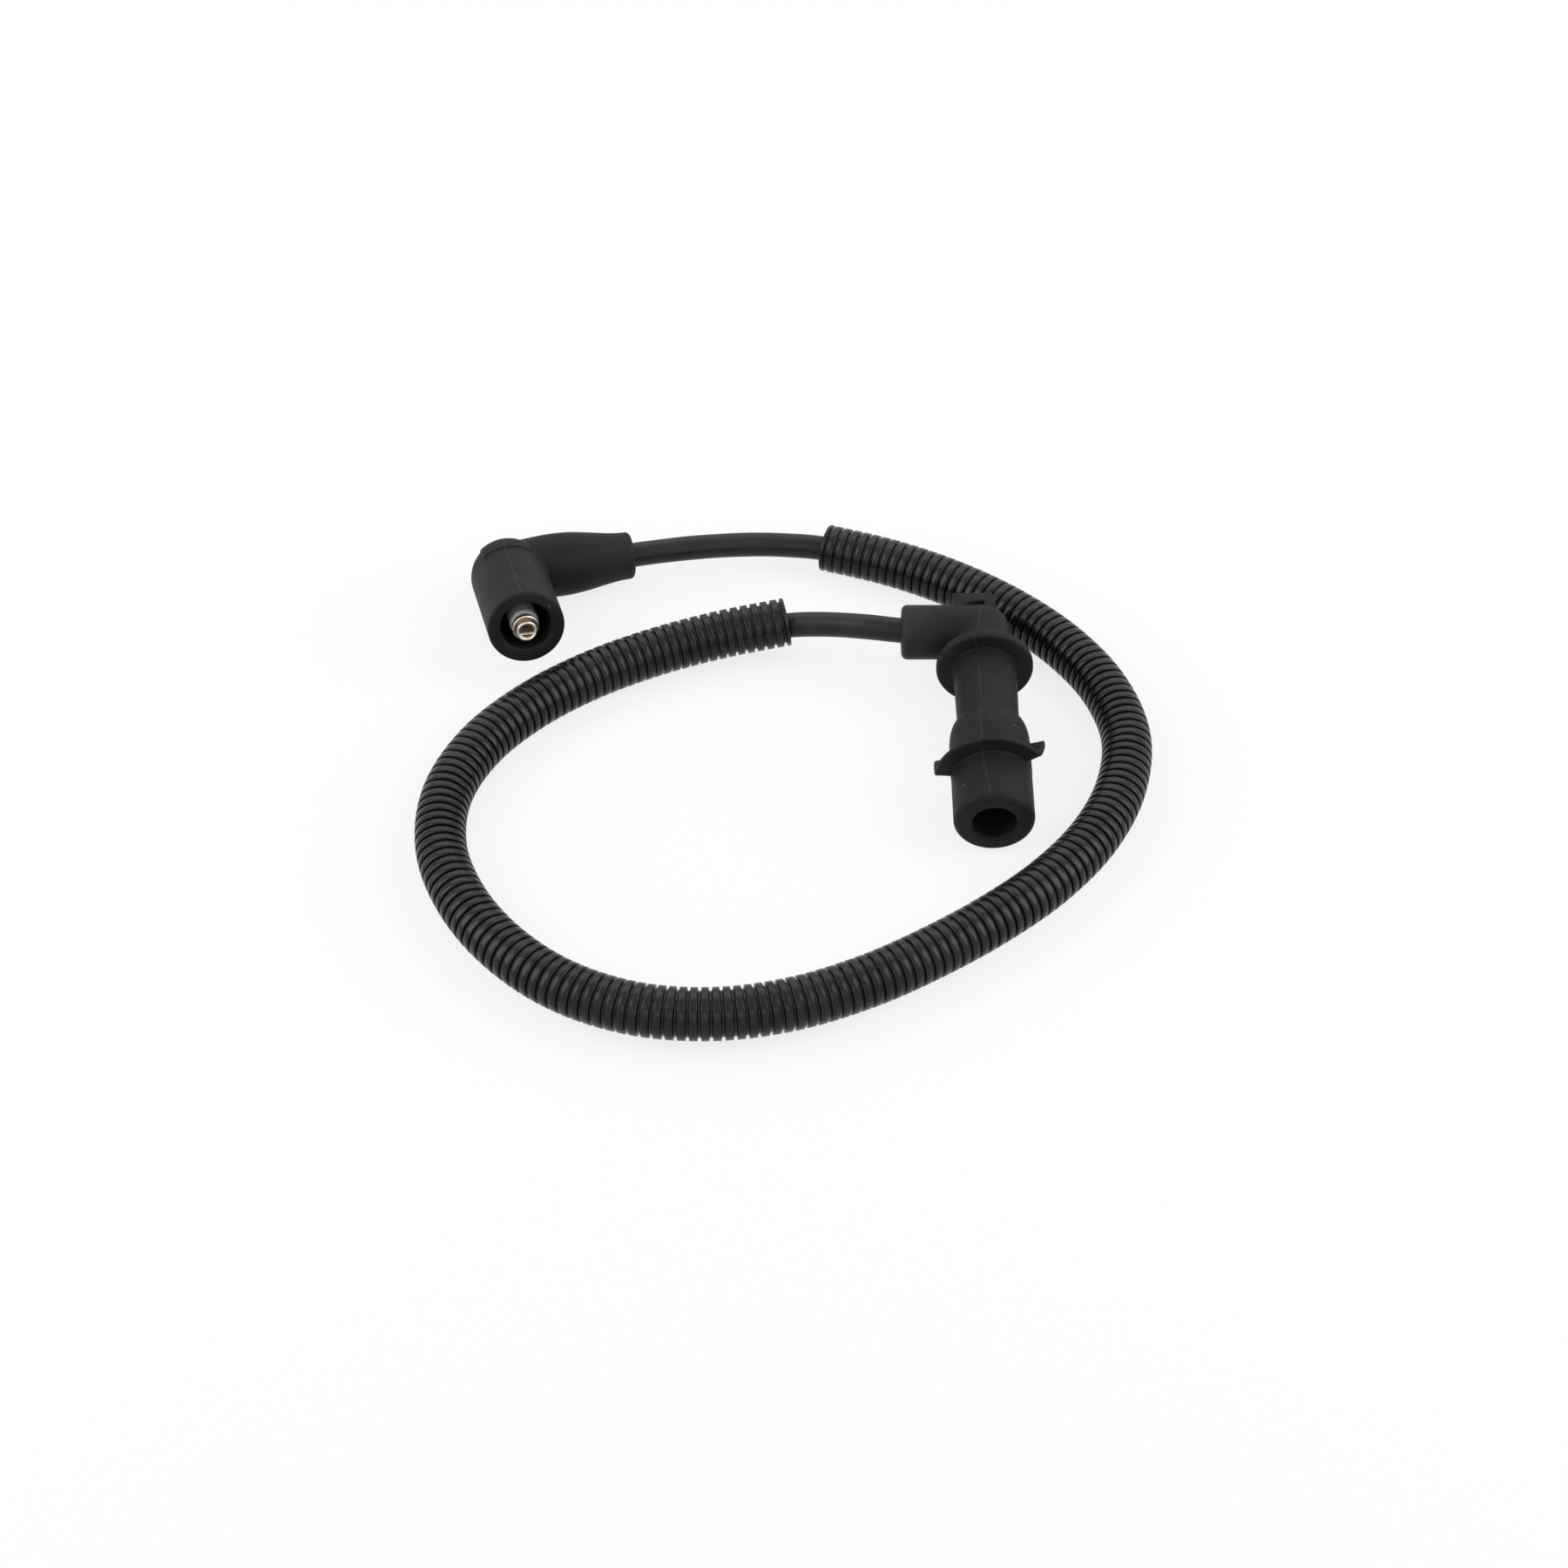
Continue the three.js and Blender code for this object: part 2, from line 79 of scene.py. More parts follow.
camera_data = bpy.data.cameras.new("camera")
camera_data.sensor_width = SENSOR
camera_data.lens = SENSOR * FOCAL_PX / PHOTO_PX
camera_data.clip_start = 0.01
camera_data.clip_end = 20
camera = bpy.data.objects.new("camera", camera_data)
camera.location = CAMERA_PLACE
camera.rotation_euler = (math.radians(90 - CAMERA_DOWN), 0, 0)
bpy.context.scene.collection.objects.link(camera)
bpy.context.scene.camera = camera
print("lens", round(camera_data.lens, 1), "mm")

# %% [markdown]
# ## The cord's route
#
# Both cords follow given lists of points, the same ones as the solids follow. An evenly
# timed spline overshoots where points are close together. A centripetal one doesn't, and still
# goes through every point. The conduit lies on the bench, and a third number is how far the stiff
# cable in it lifts it there. The cable rests low in the conduit, 1 mm below its middle.

# %% Points of the route
CABLE = 7.0 * mm
CABLE_BORE = 3.6 * mm
CONDUIT = 13.5 * mm
CONDUIT_BORE = 10.3 * mm
CABLE_SAG = 1.0 * mm

coil_lead_in = [
    (-63.2, 44.6, 10.3), (-34.0, 51.5, 9.4), (-30.1, 52.5, 9.3),
    (-15.3, 55.8, 8.7), (-0.3, 58.1, 7.8), (10.9, 58.6, 7.1),
]
conduit_route = [
    (22.0, 58.0), (40.6, 51.2), (58.1, 42.0), (74.0, 30.2), (87.6, 15.8),
    (97.6, -1.3), (102.1, -20.6), (99.2, -40.1), (90.8, -58.1), (78.5, -73.6),
    (63.7, -86.8), (47.5, -98.3), (30.4, -108.2), (12.0, -115.5), (-7.5, -118.8),
    (-27.2, -117.0), (-45.5, -109.5), (-60.8, -97.0), (-72.4, -81.0), (-79.3, -62.5),
    (-79.4, -42.8), (-72.2, -24.4), (-59.7, -9.0), (-44.2, 3.3), (-26.9, 12.7, 0.2),
    (-8.5, 19.0, 1.2), (10.5, 22.6, 3.0),
]
plug_lead_out = [
    (10.5, 21.6, 9.2), (22.2, 19.5, 11.5), (33.2, 16.1, 13.6), (40.2, 14.4, 14.1),
    (47.7, 13.6, 13.9), (58.7, 13.6, 13.9),
]

conduit_height = CONDUIT / 2


def lifted(point, height):
    """A point of the route in metres, at a height plus the point's own lift."""
    x, y = point[0] * mm, point[1] * mm
    lift = point[2] * mm if len(point) > 2 else 0
    return (x, y, height + lift)


conduit_points = [lifted(p, conduit_height) for p in conduit_route]
cable_points = [
    *[tuple(v * mm for v in p) for p in coil_lead_in],
    lifted(conduit_route[0], conduit_height - CABLE_SAG / 2),
    *[lifted(p, conduit_height - CABLE_SAG) for p in conduit_route[1:-1]],
    *[tuple(v * mm for v in p) for p in plug_lead_out],
]
print("points:", len(conduit_points), "on the conduit,", len(cable_points), "on the cable")


# %% A route that can be walked by distance
class Route:
    """A centripetal spline through points, looked up by the distance along it."""

    def __init__(self, points, samples_per_span=60):
        knots = [np.array(p, float) for p in points]
        knots = [2 * knots[0] - knots[1], *knots, 2 * knots[-1] - knots[-2]]
        line = []
        for p0, p1, p2, p3 in zip(knots, knots[1:], knots[2:], knots[3:]):
            line.extend(self.span(p0, p1, p2, p3, samples_per_span))
        line.append(knots[-2])
        self.line = np.array(line)
        steps = np.linalg.norm(np.diff(self.line, axis=0), axis=1)
        self.distance = np.concatenate([[0], np.cumsum(steps)])
        self.length = float(self.distance[-1])

    @staticmethod
    def span(p0, p1, p2, p3, count):
        """Points from p1 to p2. Each gap takes a time that is the square root of its length."""
        t0, t1, t2 = (math.sqrt(np.linalg.norm(b - a)) for a, b in ((p0, p1), (p1, p2), (p2, p3)))
        start = ((p1 - p0) / t0 - (p2 - p0) / (t0 + t1) + (p2 - p1) / t1) * t1
        end = ((p2 - p1) / t1 - (p3 - p1) / (t1 + t2) + (p3 - p2) / t2) * t1
        t = np.linspace(0, 1, count, endpoint=False)[:, None]
        cubic = 2 * p1 - 2 * p2 + start + end
        square = -3 * p1 + 3 * p2 - 2 * start - end
        return p1 + start * t + square * t**2 + cubic * t**3

    def at(self, distance):
        """Points at these distances from the start."""
        return np.stack([np.interp(distance, self.distance, axis) for axis in self.line.T], axis=-1)

    def frames(self, distance, reach=0.4 * mm):
        """Centres, and the sideways and upward directions there."""
        ahead = self.at(np.clip(distance + reach, 0, self.length))
        behind = self.at(np.clip(distance - reach, 0, self.length))
        along = ahead - behind
        along /= np.linalg.norm(along, axis=1)[:, None]
        side = np.cross(along, (0, 0, 1))
        side /= np.linalg.norm(side, axis=1)[:, None]
        return self.at(distance), side, np.cross(side, along)


conduit_path = Route(conduit_points)
cable_path = Route(cable_points)
print("conduit", round(conduit_path.length, 4), "m, cable", round(cable_path.length, 4), "m")

# %% [markdown]
# ## Tubes with a real section
#
# A bevelled curve gives a quick tube, but its section can't change along its length and its ends
# stay open. Here a tube is a closed profile of (distance, radius) pairs that goes out along the
# outside and comes back along the bore. Each pair is one ring, and neighbouring rings are joined
# with quads, so ribs, rounded shoulders and a real wall all come from one list.


# %% Rings joined into a tube
def mesh_object(name, points, faces):
    """A smoothly shaded piece from points in metres."""
    mesh = bpy.data.meshes.new(name)
    mesh.from_pydata([tuple(p) for p in points], [], [tuple(f) for f in faces])
    mesh.update()
    mesh.polygons.foreach_set("use_smooth", [True] * len(mesh.polygons))
    piece = bpy.data.objects.new(name, mesh)
    bpy.context.scene.collection.objects.link(piece)
    return piece


def ring_faces(rings, sides, closed):
    """Quads between neighbouring rings, and back to the first ring when closed."""
    first = np.arange(rings if closed else rings - 1)
    corner = np.arange(sides)
    a = (first[:, None] * sides + corner).ravel()
    b = (first[:, None] * sides + (corner + 1) % sides).ravel()
    following = ((first + 1) % rings)[:, None] * sides
    c = (following + (corner + 1) % sides).ravel()
    d = (following + corner).ravel()
    return np.stack([a, d, c, b], axis=1).tolist()


def tube_along(name, path, profile, sides):
    """profile is a closed list of (distance along the path, radius)."""
    distance, radius = np.array(profile).T
    centre, side, up = path.frames(distance)
    angle = np.linspace(0, 2 * math.pi, sides, endpoint=False)
    sideways = np.cos(angle)[None, :, None] * side[:, None, :]
    upwards = np.sin(angle)[None, :, None] * up[:, None, :]
    points = centre[:, None, :] + radius[:, None, None] * (sideways + upwards)
    return mesh_object(name, points.reshape(-1, 3), ring_faces(len(profile), sides, closed=True))


print("two rings of 40 corners are joined by", len(ring_faces(2, 40, closed=False)), "quads")

# %% [markdown]
# ## The conduit
#
# Corrugated loom is blown from nylon into a mould, so each rib has a broad flat crest with rounded
# shoulders and the next rib starts after a narrow groove. About two thirds of the pitch is crest.
# The crest is a touch hollow, because the hot wall shrinks between the mould's edges, and that is
# what puts a thin bright line along each shoulder. The ends are cut through a crest.

# %% One rib, as shares of the pitch and radii
GROOVE_DEPTH = 0.92 * mm
CREST_HOLLOW = 0.05 * mm
SHOULDER_TOP = 0.08 * mm
SHOULDER_LOW = 0.30 * mm
GROOVE_ROUND = 0.10 * mm

crest = CONDUIT / 2
valley = crest - GROOVE_DEPTH
rib = [
    (0.00, crest - CREST_HOLLOW), (0.27, crest), (0.320, crest - SHOULDER_TOP),
    (0.348, crest - SHOULDER_LOW), (0.376, valley + GROOVE_ROUND), (0.415, valley),
    (0.585, valley), (0.624, valley + GROOVE_ROUND), (0.652, crest - SHOULDER_LOW),
    (0.680, crest - SHOULDER_TOP), (0.73, crest),
]
print("rib", round(crest / mm, 2), "mm at the crest,", round(valley / mm, 2), "mm in the groove")

# %% Conduit with its ribs
RIB_PITCH = 2.80 * mm
END_WALL = 0.55 * mm
END_WALL_DEPTH = 1.0 * mm
BORE_SPANS = 90
CONDUIT_SIDES = 40

rib_count = round(conduit_path.length / RIB_PITCH)
pitch = conduit_path.length / rib_count
outside = [((i + share) * pitch, radius) for i in range(rib_count) for share, radius in rib]
outside.append((conduit_path.length, crest - CREST_HOLLOW))
end_radius = crest - END_WALL
bore_radius = CONDUIT_BORE / 2
bore_from, bore_to = END_WALL_DEPTH, conduit_path.length - END_WALL_DEPTH
bore = [
    (conduit_path.length, end_radius), (bore_to, end_radius), (bore_to, bore_radius),
    *[(bore_to - i * (bore_to - bore_from) / BORE_SPANS, bore_radius) for i in range(1, BORE_SPANS)],
    (bore_from, bore_radius), (bore_from, end_radius), (0, end_radius),
]
conduit = tube_along("corrugated_conduit", conduit_path, outside + bore, CONDUIT_SIDES)
print("ribs", rib_count, "triangles", 2 * len(conduit.data.polygons))

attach(conduit, "root")
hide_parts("conduit")

# %% [markdown]
# ## The cable
#
# The jacket is extruded silicone, so it is round and even, with only a very slight waviness from
# the braid under it. It goes from one crimp to the other, also where the conduit hides it. Its
# bore has a quarter of the outside's rings, because nobody sees it.

# %% Cable jacket
CABLE_RING_STEP = 1.5 * mm
CABLE_SIDES = 32
WAVE = 0.03 * mm
WAVE_LENGTH = 17 * mm
BORE_THINNING = 4

ring_count = round(cable_path.length / CABLE_RING_STEP)
walk = np.linspace(0, cable_path.length, ring_count)
jacket_radius = CABLE / 2 - WAVE * (1 + np.sin(walk / WAVE_LENGTH * 2 * math.pi)) / 2
jacket_profile = [
    *zip(walk, jacket_radius),
    *[(d, CABLE_BORE / 2) for d in walk[::-BORE_THINNING]],
]
if jacket_profile[-1][0] > 0:
    jacket_profile.append((0, CABLE_BORE / 2))
jacket = tube_along("cable_jacket_skin", cable_path, jacket_profile, CABLE_SIDES)

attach(jacket, "root")
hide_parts("cable_jacket")
print("cable rings", ring_count)

# %% [markdown]
# ## Moulded rubber as a distance field
#
# A boot is one moulding: barrel, arm, flange and web run into each other over small fillets.
# Booleans on meshes leave hard creases, and bevels on their edges fail easily. So each boot is
# written as a signed distance: every simple form is a function that says how far a point is from
# its surface, `fuse` joins two forms over a fillet, and `cut` takes one away. A surface net then
# turns the field into an even mesh: each edge of a grid that crosses the surface gives one quad
# between the four grid cells round it, and a cell's corner is the mean of its crossings. In these
# cells a number is a length in millimetres, in the boot's own frame: the barrel runs from the elbow
# along -Y.


# %% Distance to a flat outline
def polygon_distance(x, y, corners):
    """Signed distance to a closed polygon, below 0 inside."""
    nearest = np.full(np.shape(x), np.inf)
    sign = np.ones(np.shape(x))
    for (ax, ay), (bx, by) in zip(corners, corners[-1:] + corners[:-1]):
        ex, ey = bx - ax, by - ay
        wx, wy = x - ax, y - ay
        share = np.clip((wx * ex + wy * ey) / (ex * ex + ey * ey), 0, 1)
        nearest = np.minimum(nearest, (wx - ex * share) ** 2 + (wy - ey * share) ** 2)
        above, below = y >= ay, y < by
        left = ex * wy > ey * wx
        crossing = (above & below & left) | (~above & ~below & ~left)
        sign = np.where(crossing, -sign, sign)
    return sign * np.sqrt(nearest)


# %% Turned forms
class Turned:
    """A turned form from a profile of (radius, along) corners, looked up in a fine table."""

    STEP = 0.1
    MARGIN = 4.0

    def __init__(self, profile):
        whole = [(r, a) for r, a in profile] + [(-r, a) for r, a in reversed(profile) if r > 0]
        radii, alongs = zip(*profile)
        self.low = min(alongs) - self.MARGIN
        wide = np.arange(0, max(radii) + self.MARGIN, self.STEP)
        high = np.arange(self.low, max(alongs) + self.MARGIN, self.STEP)
        self.table = polygon_distance(*np.meshgrid(wide, high, indexing="ij"), whole)

    def __call__(self, radius, along):
        """Blends the four nearest entries. 1.001 keeps the next entry inside the table."""
        r = np.clip(radius / self.STEP, 0, self.table.shape[0] - 1.001)
        a = np.clip((along - self.low) / self.STEP, 0, self.table.shape[1] - 1.001)
        i, j = r.astype(int), a.astype(int)
        u, v = r - i, a - j
        table = self.table
        lower = table[i, j] * (1 - u) + table[i + 1, j] * u
        upper = table[i, j + 1] * (1 - u) + table[i + 1, j + 1] * u
        return lower * (1 - v) + upper * v


# %% Forms with a thickness, a fillet or a round edge
def slab_distance(flat, across, half_width):
    """A flat shape's distance, given thickness."""
    beyond = np.abs(across) - half_width
    depth = np.minimum(np.maximum(flat, beyond), 0)
    return depth + np.hypot(np.maximum(flat, 0), np.maximum(beyond, 0))


def fuse(a, b, fillet):
    """Two forms joined over a fillet."""
    overlap = np.maximum(fillet - np.abs(a - b), 0) / fillet
    return np.minimum(a, b) - overlap**2 * fillet / 4


def cut(a, b, edge):
    """The first form without the second, with a soft edge between them."""
    return -fuse(-a, b, edge)


def rounded(radius, along, round_off, turn=1, steps=8):
    """Corners of a quarter round at (radius, along): turn 1 ends a form, and -1 starts one."""
    corners = []
    for t in (i / steps * math.pi / 2 for i in range(steps + 1)):
        first, last = round_off * (1 - math.cos(t)), round_off * (1 - math.sin(t))
        ending, starting = (radius - first, along - last), (radius - last, along + first)
        corners.append(ending if turn > 0 else starting)
    return corners


def rod(radius, start, end):
    """Corners of a plain cylinder."""
    return [(0, start), (radius, start), (radius, end), (0, end)]


print("a 2 mm fillet fills a square corner by", -fuse(0.0, 0.0, 2.0), "mm")


# %% A surface net over a field
def surface_net(name, field, low, high, step):
    """Mesh of field(x, y, z) = 0 between two corners, in millimetres. Below 0 is inside."""
    low = np.array(low, float)
    counts = np.ceil((np.array(high) - low) / step).astype(int) + 1
    axes = [low[k] + step * np.arange(counts[k]) for k in range(3)]
    values = field(*np.meshgrid(*axes, indexing="ij"))
    inside = values < 0
    cells = counts - 1
    owners, places, quads = [], [], []
    for axis in range(3):
        first = [slice(None)] * 3
        second = [slice(None)] * 3
        first[axis], second[axis] = slice(0, -1), slice(1, None)
        start, end = inside[tuple(first)], inside[tuple(second)]
        edges = np.argwhere(start != end)
        va = values[tuple(first)][tuple(edges.T)]
        vb = values[tuple(second)][tuple(edges.T)]
        crossing = edges.astype(float)
        crossing[:, axis] += va / (va - vb)
        u, v = (axis + 1) % 3, (axis + 2) % 3
        around = []
        for du, dv in ((0, 0), (-1, 0), (-1, -1), (0, -1)):
            cell = edges.copy()
            cell[:, u] += du
            cell[:, v] += dv
            around.append((cell[:, 0] * cells[1] + cell[:, 1]) * cells[2] + cell[:, 2])
            places.append(crossing)
        around = np.stack(around, axis=1)
        leaving = start[tuple(edges.T)]
        owners.extend(around.T)
        quads.append(np.where(leaving[:, None], around, around[:, ::-1]))
    ids, index = np.unique(np.concatenate(owners), return_inverse=True)
    places = np.concatenate(places)
    count = np.bincount(index)
    points = np.stack([np.bincount(index, places[:, k]) / count for k in range(3)], axis=1)
    points = low + step * points
    points = settle(field, points, step)
    faces = np.searchsorted(ids, np.concatenate(quads))
    return mesh_object(name, points * mm, faces.tolist())


# %% Corners settled onto the surface
def settle(field, points, step, rounds=2):
    """Moves points along the field's slope onto its surface, by at most half a step."""
    reach, least_steepness = 0.02, 0.25
    for _ in range(rounds):
        x, y, z = points.T
        slope = np.stack([
            field(x + reach, y, z) - field(x - reach, y, z),
            field(x, y + reach, z) - field(x, y - reach, z),
            field(x, y, z + reach) - field(x, y, z - reach),
        ], axis=1) / (2 * reach)
        steepness = np.maximum((slope**2).sum(axis=1), least_steepness)
        move = -(field(x, y, z) / steepness)[:, None] * slope
        size = np.linalg.norm(move, axis=1)[:, None]
        points = points + move * np.minimum(1, 0.5 * step / np.maximum(size, 1e-9))
    return points


# %% [markdown]
# ## What both boots hold
#
# Each boot is hollow for a bent terminal: a socket in the barrel, a strap round the elbow and a
# crimp in the arm. The cable's bore ends in the arm. These seats are hidden, but they belong to
# the moulding, and the metal would cut through solid rubber without them. A form that is cut away
# runs on past the face that it opens, so that no thin skin is left there.

# %% Sizes of the seats, and the strap's side view
CLEARANCE = 0.3
CRIMP_RADIUS = 4.3
CRIMP_FROM, CRIMP_TO = 5.0, 13.0
STRAP = 0.8
STRAP_RADIUS = 4.6
STRAP_OVERLAP = 3.0
STRAP_BEND = 3.0
ARM_MOUTH_WIDEN = 0.6
ARM_MOUTH_DEPTH = 5.0
OVERRUN = 1.0


def strap_outline(socket_radius, socket_from, grow=0.0, steps=8):
    """Side view of the bent strap, for an arm along +X."""
    a, b = socket_radius + grow, STRAP_RADIUS + grow
    bend, thick = STRAP_BEND + grow, STRAP + 2 * grow
    low, end = -socket_from - STRAP_OVERLAP - grow, CRIMP_FROM + STRAP_OVERLAP + grow
    turns = [math.pi - i / steps * math.pi / 2 for i in range(steps + 1)]
    outer = [(-a + bend + bend * math.cos(t), b - bend + bend * math.sin(t)) for t in turns]
    tight = bend - thick
    inner = [(-a + bend + tight * math.cos(t), b - bend + tight * math.sin(t)) for t in turns[::-1]]
    return [(-a, low), *outer, (end, b), (end, b - thick), *inner, (-a + thick, low)]


print("crimp seat", round(2 * (CRIMP_RADIUS + CLEARANCE), 2), "mm across")


# %% The hollow for a terminal and its cable
def upright(x, y, z):
    """Coordinates of a terminal that doesn't lean."""
    return x, y, z


def seats(socket_radius, socket_from, strap_width, arm_length, side, tilt=upright):
    """The hollow for a terminal and its cable, as a field. side is the arm's direction along X."""
    seat_end = socket_from + STRAP_OVERLAP + 2 * CLEARANCE
    socket = Turned(rod(socket_radius + CLEARANCE, -socket_radius - CLEARANCE, seat_end))
    crimp_seat = CRIMP_RADIUS + CLEARANCE
    crimp = Turned(rod(crimp_seat, -socket_radius - CLEARANCE, CRIMP_TO + CLEARANCE))
    cable_seat = CABLE / mm / 2 + CLEARANCE
    cable = Turned([
        (0, 0), (cable_seat, 0), (cable_seat, arm_length - ARM_MOUTH_DEPTH),
        (cable_seat + ARM_MOUTH_WIDEN, arm_length),
        (cable_seat + ARM_MOUTH_WIDEN, arm_length + OVERRUN), (0, arm_length + OVERRUN),
    ])
    outline = strap_outline(socket_radius, socket_from, CLEARANCE)

    def field(x, y, z):
        around_arm = np.hypot(y, z)
        tx, ty, tz = tilt(x, y, z)
        hollow = np.minimum(socket(np.hypot(tx, tz), -ty), crimp(around_arm, side * x))
        hollow = np.minimum(hollow, cable(around_arm, side * x))
        from_strap = polygon_distance(side * x, y, outline)
        strap = slab_distance(from_strap, z, strap_width / 2 + CLEARANCE)
        return np.minimum(hollow, strap)

    return field


# %% [markdown]
# ## The plug boot
#
# It seals a deep plug well: a flange closes the well, the neck and collar fill it, and a brim with
# two swept ears is what fingers pull on. A web stiffens the elbow. The brim isn't turned, so it is
# a thin ring in polar coordinates whose place along the barrel depends on the angle.

# %% Plug boot's sizes
PLUG_LENGTH = 71.0
PLUG_BARREL = 10.7
PLUG_RIM = 2.0
PLUG_BORE = 5.9
PLUG_BORE_DEPTH = 54.6
PLUG_ROOT = 7.3
FLANGE = 13.25
FLANGE_FROM, FLANGE_TO = 12.0, 14.8
FLANGE_ROUND = 0.8
NECK, NECK_END = 8.7, 8.3
NECK_TO = 36.0
SHOULDER_TO = 43.7
COLLAR = 10.8
BRIM_FRONT = 54.9
BRIM = 15.1
BRIM_THICK = 1.4
BRIM_SPAN = math.radians(92)
BRIM_CORNER = math.radians(7)
EAR_SPAN = math.radians(28)
EAR_ANGLE = math.radians(94)
EAR_SWEEP = 8.8
SEAM_ROLL = math.radians(15.5)
PLUG_ARM = 7.55
PLUG_ARM_LENGTH = 22.4
PLUG_ARM_ROUND = 1.6
PLUG_SOCKET = 4.1
PLUG_SOCKET_FROM = 3.5
PLUG_STRAP_WIDTH = 5.0
print("plug boot", PLUG_LENGTH, "mm deep, with a bore of", 2 * PLUG_BORE, "mm")

# %% Plug boot's turned forms
MOUTH_EDGE = 0.5
MOUTH_PAST = 0.05
SHOULDER_STEPS = 10

swell, rise = COLLAR - NECK_END, SHOULDER_TO - NECK_TO
shoulder = [
    (NECK_END + swell * math.sin(t), SHOULDER_TO - rise * math.cos(t))
    for t in [i / SHOULDER_STEPS * math.pi / 2 for i in range(SHOULDER_STEPS + 1)]
]
plug_barrel = Turned([
    (0, 0), (PLUG_ROOT, 0), (NECK, FLANGE_FROM),
    *rounded(FLANGE, FLANGE_FROM, FLANGE_ROUND, turn=-1),
    *rounded(FLANGE, FLANGE_TO, FLANGE_ROUND),
    (NECK, FLANGE_TO), *shoulder, (COLLAR, BRIM_FRONT - BRIM_THICK), (PLUG_BARREL, BRIM_FRONT),
    *rounded(PLUG_BARREL, PLUG_LENGTH, PLUG_RIM), (0, PLUG_LENGTH),
])
plug_arm = Turned([
    (0, 0), (PLUG_ARM, 0), *rounded(PLUG_ARM, PLUG_ARM_LENGTH, PLUG_ARM_ROUND), (0, PLUG_ARM_LENGTH),
])
plug_bore = Turned([
    (0, PLUG_LENGTH - PLUG_BORE_DEPTH), (PLUG_BORE, PLUG_LENGTH - PLUG_BORE_DEPTH),
    (PLUG_BORE, PLUG_LENGTH - MOUTH_EDGE), (PLUG_BORE + MOUTH_EDGE, PLUG_LENGTH + MOUTH_PAST),
    (PLUG_BORE + MOUTH_EDGE, PLUG_LENGTH + 2 * OVERRUN), (0, PLUG_LENGTH + 2 * OVERRUN),
])
socket_seat_end = PLUG_LENGTH - PLUG_BORE_DEPTH + OVERRUN
plug_socket_seat = Turned(rod(PLUG_SOCKET + CLEARANCE, 0, socket_seat_end))
print("barrel's distance table", plug_barrel.table.shape)

# %% Plug boot's brim
BRIM_EDGE = 0.35
# The radius that turns an angle past the brim's end into a length.
BRIM_MIDDLE = 12.0
BRIM_ROOT = 1.5


def brim_field(x, y, z):
    """Ring round the top of the barrel, swept back from the mouth towards its ears."""
    angle = np.abs(np.arctan2(x, z) + SEAM_ROLL)
    angle = np.minimum(angle, 2 * math.pi - angle)
    past = np.clip((angle - BRIM_SPAN) / BRIM_CORNER + 1, 0, 1)
    reach = PLUG_BARREL + (BRIM - PLUG_BARREL) * np.sqrt(1 - past**2)
    # An S-curve takes each ear back along the barrel, and its slope keeps the brim's thickness.
    t = np.clip((angle - EAR_ANGLE + EAR_SPAN) / EAR_SPAN, 0, 1)
    centre = BRIM_FRONT - BRIM_THICK / 2 - EAR_SWEEP * t * t * (3 - 2 * t)
    slope = EAR_SWEEP * 6 * t * (1 - t) / (EAR_SPAN * (PLUG_BARREL + BRIM) / 2)
    across = np.abs(-y - centre) / np.sqrt(1 + slope**2) - BRIM_THICK / 2 + BRIM_EDGE
    outwards = np.hypot(x, z) - reach + BRIM_EDGE
    corner = np.hypot(np.maximum(across, 0), np.maximum(outwards, 0))
    ring = corner + np.minimum(np.maximum(across, outwards), 0) - BRIM_EDGE
    ends = (angle - BRIM_SPAN) * BRIM_MIDDLE
    return np.maximum(np.maximum(ring, ends), PLUG_BARREL - BRIM_ROOT - np.hypot(x, z))


print("brim", 2 * BRIM, "mm across, over", round(2 * math.degrees(BRIM_SPAN)), "degrees")

# %% Plug boot as one field
# The web's side view, as (x, y) corners.
ELBOW_WEB = [(-8.2, 9.5), (3.0, 9.5), (6.2, -12.4), (3.6, -12.4), (0.4, 6.9), (-8.2, 4.5)]
WEB_HALF_WIDTH = 6.0
WEB_ROUND = 0.25
WEB_FILLET = 0.5
PLUG_ARM_FILLET = 0.7
PLUG_ELBOW_FILLET = 0.4
BRIM_FILLET = 0.5
BORE_EDGE = 0.3

plug_hollow = seats(PLUG_SOCKET, PLUG_SOCKET_FROM, PLUG_STRAP_WIDTH, PLUG_ARM_LENGTH, side=-1)


def plug_boot_field(x, y, z):
    around_barrel, around_arm = np.hypot(x, z), np.hypot(y, z)
    body = plug_barrel(around_barrel, -y)
    body = fuse(body, plug_arm(around_arm, -x), PLUG_ARM_FILLET)
    body = fuse(body, np.sqrt(x * x + y * y + z * z) - PLUG_ARM, PLUG_ELBOW_FILLET)
    from_web = polygon_distance(x, y, ELBOW_WEB) + WEB_ROUND
    web = slab_distance(from_web, z, WEB_HALF_WIDTH - WEB_ROUND) - WEB_ROUND
    body = fuse(body, web, WEB_FILLET)
    body = fuse(body, brim_field(x, y, z), BRIM_FILLET)
    body = cut(body, plug_bore(around_barrel, -y), BORE_EDGE)
    body = np.maximum(body, -plug_socket_seat(around_barrel, -y))
    return np.maximum(body, -plug_hollow(x, y, z))


print("plug boot's wall at the mouth", round(PLUG_BARREL - PLUG_BORE, 2), "mm")

# %% Plug boot's mesh
NET_STEP = 0.36
PLUG_LOW, PLUG_HIGH = (-24.2, -71.6, -16.6), (16.8, 10.8, 16.6)

plug_boot = surface_net("plug_boot_moulding", plug_boot_field, PLUG_LOW, PLUG_HIGH, NET_STEP)
print("plug boot triangles", 2 * len(plug_boot.data.polygons))

